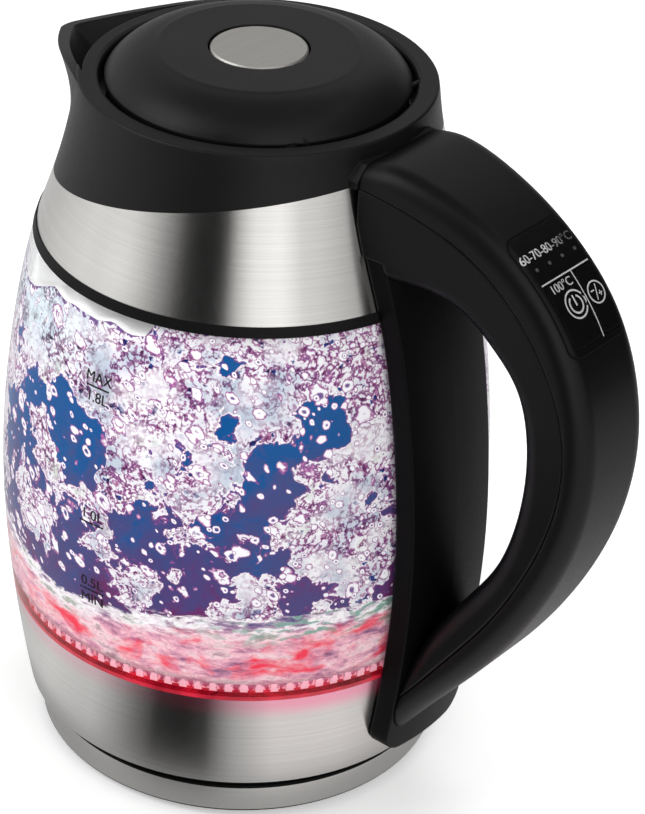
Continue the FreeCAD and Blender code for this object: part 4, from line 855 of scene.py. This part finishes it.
BUTTON_WIRE = 0.0007
BUTTON_TURNS = 5
LATCH_WIRE = 0.0005
LATCH_TURNS = 4
low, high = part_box("button_springs")
length = high[2] - low[2]
apart = high[1] - high[0]
foot = Vector((0, -apart, low[2]))
pair = coil(foot, Vector((0, 0, 1)), high[0], BUTTON_WIRE, length, BUTTON_TURNS)
doubled(pair, (0, 2 * apart, 0))
button_coils = piece("button_coils", pair, zinc, "lid")
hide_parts("button_springs")
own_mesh(button_coils)
low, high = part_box("latch_spring")
length = high[0] - low[0]
foot = Vector((low[0], 0, (low[2] + high[2]) / 2))
lying = coil(foot, Vector((1, 0, 0)), high[1], LATCH_WIRE, length, LATCH_TURNS)
latch_coil = piece("latch_coil", lying, zinc, "lid")
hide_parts("latch_spring")
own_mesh(latch_coil)

# Studio: a floor of white paper, a white world, three soft lamps and, seen only in reflections,
# a wrap of white cloth with a dark strip in it that draws the stripes on the steel.

paper, tree, place = blank("white_paper_floor")
pulp = add(tree, "TexNoise", {"Vector": place, "Scale": 1000 / 40, "Detail": 2.0})
tone = add(tree, "ValToRGB", {0: pulp}, stops=[(0.3, "#f3f3f3"), (0.7, "#f7f7f7")])
seen = add(tree, "LightPath")
matte = add(tree, "BsdfDiffuse", {"Color": tone})
bright = add(tree, "Emission", {"Color": linear("#ffffff"), "Strength": 0.36})
lifted = add(tree, "AddShader", {0: matte, 1: bright})
show(tree, "MixShader", {0: seen.outputs["Is Camera Ray"], 1: matte, 2: lifted})


def disc(segments, radius, middle):
    """Flat round sheet lying level."""
    shape = bmesh.new()
    bmesh.ops.create_circle(shape, cap_ends=True, segments=segments, radius=radius)
    bmesh.ops.translate(shape, vec=middle, verts=shape.verts)
    return shape


FLOOR_RADIUS = 4.0
floor = placed("floor", disc(96, FLOOR_RADIUS, (0, 0, 0)), paper)

PLAIN_REACH = (0.084, 0.09)


def surround(name, shape, strength, plain, stops):
    """Part of the reflection wrap, seen by gloss alone: glows by direction, plain close to the base."""
    cloth, tree, place = blank(name + "_cloth")
    split = add(tree, "SeparateXYZ", {0: place})
    flat = add(tree, "CombineXYZ", {"X": split.outputs["X"], "Y": split.outputs["Y"]})
    reach = add(tree, "VectorMath", {0: flat}, operation="LENGTH")
    far = add(tree, "MapRange", {"Value": reach, "From Min": PLAIN_REACH[0], "From Max": PLAIN_REACH[1]})
    turn = add(tree, "Math", {0: split.outputs["Y"], 1: split.outputs["X"]}, operation="ARCTAN2")
    share = add(tree, "MapRange", {"Value": turn, "From Min": -math.pi, "From Max": math.pi})
    tone = add(tree, "ValToRGB", {0: share}, stops=stops)
    mixed = add(tree, "Mix", {0: far, 6: linear(plain), 7: tone}, data_type="RGBA")
    show(tree, "Emission", {"Color": mixed, "Strength": strength})
    made = placed(name, shape, cloth)
    made.visible_camera = made.visible_diffuse = made.visible_transmission = made.visible_shadow = False
    return made


def compass(*stops):
    """Colour stops by direction in degrees, in order round the circle from -180."""
    return [(angle / 360 + 0.5, colour) for angle, colour in stops]


WRAP_RADIUS = 0.75
WRAP_HEIGHT = 1.18
WRAP_MIDDLE = 0.61
APRON_LEVEL = 0.0003
ROOF_RADIUS = 0.62
ROOF_MIDDLE = (-0.09, 0.11, 1.2)
wall_shape = bmesh.new()
bmesh.ops.create_cone(wall_shape, segments=128, radius1=WRAP_RADIUS, radius2=WRAP_RADIUS, depth=WRAP_HEIGHT)
bmesh.ops.translate(wall_shape, vec=(0, 0, WRAP_MIDDLE), verts=wall_shape.verts)
wall = surround("wrap_wall", wall_shape, 1.35, "#888888", compass(
    (-179, "#c4c4c4"), (-142, "#e0e0e0"), (-117, "#c8c8c8"), (-98, "#909090"), (-86, "#2c2c2c"),
    (-80, "#040404"), (-68, "#000000"), (-63, "#404040"), (-57, "#c4c4c4"), (-49, "#fbfbfb"),
    (-36, "#fbfbfb"), (-24, "#c4c4c4"), (-8, "#bcbcbc"), (8, "#b0b0b0"), (22, "#303030"),
    (80, "#303030"), (102, "#a0a0a0"), (150, "#a0a0a0"), (179, "#c4c4c4")))
apron = surround("wrap_apron", disc(128, WRAP_RADIUS, (0, 0, APRON_LEVEL)), 1.2, "#999999", compass(
    (-179, "#b8b8b8"), (-130, "#dedede"), (-105, "#cacaca"), (-88, "#707070"), (-79, "#161616"),
    (-69, "#060606"), (-61, "#2c2c2c"), (-51, "#b0b0b0"), (-38, "#e8e4e4"), (-14, "#ece8e8"),
    (10, "#d0cccc"), (60, "#bcbcbc"), (120, "#d8d8d8"), (179, "#b8b8b8")))
roof = surround("wrap_roof", disc(64, ROOF_RADIUS, ROOF_MIDDLE), 1.0, "#202020",
                compass((-179, "#1c1c1c"), (179, "#1c1c1c")))

world = bpy.data.worlds.new("studio")
bpy.context.scene.world = world
world.use_nodes = True
world.node_tree.nodes.clear()
tree = world.node_tree
path = add(tree, "LightPath")
either = add(tree, "Math", {0: path.outputs["Is Camera Ray"], 1: path.outputs["Is Glossy Ray"]},
             operation="MAXIMUM")
seen = add(tree, "Math", {0: either, 1: path.outputs["Is Transmission Ray"]}, operation="MAXIMUM")
ambient = add(tree, "Background", {"Color": linear("#ffffff"), "Strength": 0.5})
white = add(tree, "Background", {"Color": linear("#ffffff"), "Strength": 1.0})
mixed = add(tree, "MixShader", {0: seen, 1: ambient, 2: white})
add(tree, "OutputWorld", {"Surface": mixed})

AIM = Vector((0, 0, 0.12))
# Each lamp has a name, a place, a diameter and a power in watts.
LAMPS = [("key_lamp", (-0.75, -0.95, 1.15), 0.7, 8.0), ("fill_lamp", (1.2, -0.5, 0.8), 0.8, 4.5),
         ("top_lamp", (0.1, 0.4, 1.5), 0.9, 6.3)]
for name, spot, size, power in LAMPS:
    light = bpy.data.lights.new(name, "AREA")
    light.shape = "DISK"
    light.size = size
    light.energy = power
    lamp = bpy.data.objects.new(name, light)
    lamp.location = spot
    lamp.rotation_euler = (AIM - lamp.location).to_track_quat("-Z", "Y").to_euler()
    bpy.context.scene.collection.objects.link(lamp)

# Camera: a long lens a metre away, looking down at the side between the spout and the handle.
# It is rolled a little, and aimed so that the kettle's axis falls left of the picture's middle.

PICTURE = (645, 814)
AXIS_PIXEL = (247.6, 412.9)
SIGHT = Vector((0, 0, 0.1157))
DISTANCE = 0.993
AZIMUTH = math.radians(40)
ELEVATION = math.radians(32.14)
ROLL = math.radians(1.84)
FOCAL_PIXELS = 3004.0
SENSOR = 36.0

back = Vector((math.sin(AZIMUTH) * math.cos(ELEVATION), -math.cos(AZIMUTH) * math.cos(ELEVATION),
               math.sin(ELEVATION)))
level_right = Vector((math.cos(AZIMUTH), math.sin(AZIMUTH), 0))
level_up = back.cross(level_right)
right = level_right * math.cos(ROLL) + level_up * math.sin(ROLL)
up = level_up * math.cos(ROLL) - level_right * math.sin(ROLL)
aim = -back + right * (PICTURE[0] / 2 - AXIS_PIXEL[0]) / FOCAL_PIXELS
aim += up * (AXIS_PIXEL[1] - PICTURE[1] / 2) / FOCAL_PIXELS
out = -aim.normalized()
across = up.cross(out).normalized()
lens = bpy.data.cameras.new("camera")
lens.sensor_width = SENSOR
lens.lens = FOCAL_PIXELS / PICTURE[1] * SENSOR
camera = bpy.data.objects.new("camera", lens)
rotation = Matrix((across, out.cross(across), out)).transposed().to_4x4()
camera.matrix_world = Matrix.Translation(SIGHT + back * DISTANCE) @ rotation
bpy.context.scene.collection.objects.link(camera)
bpy.context.scene.camera = camera
bpy.context.scene.view_settings.view_transform = "Standard"
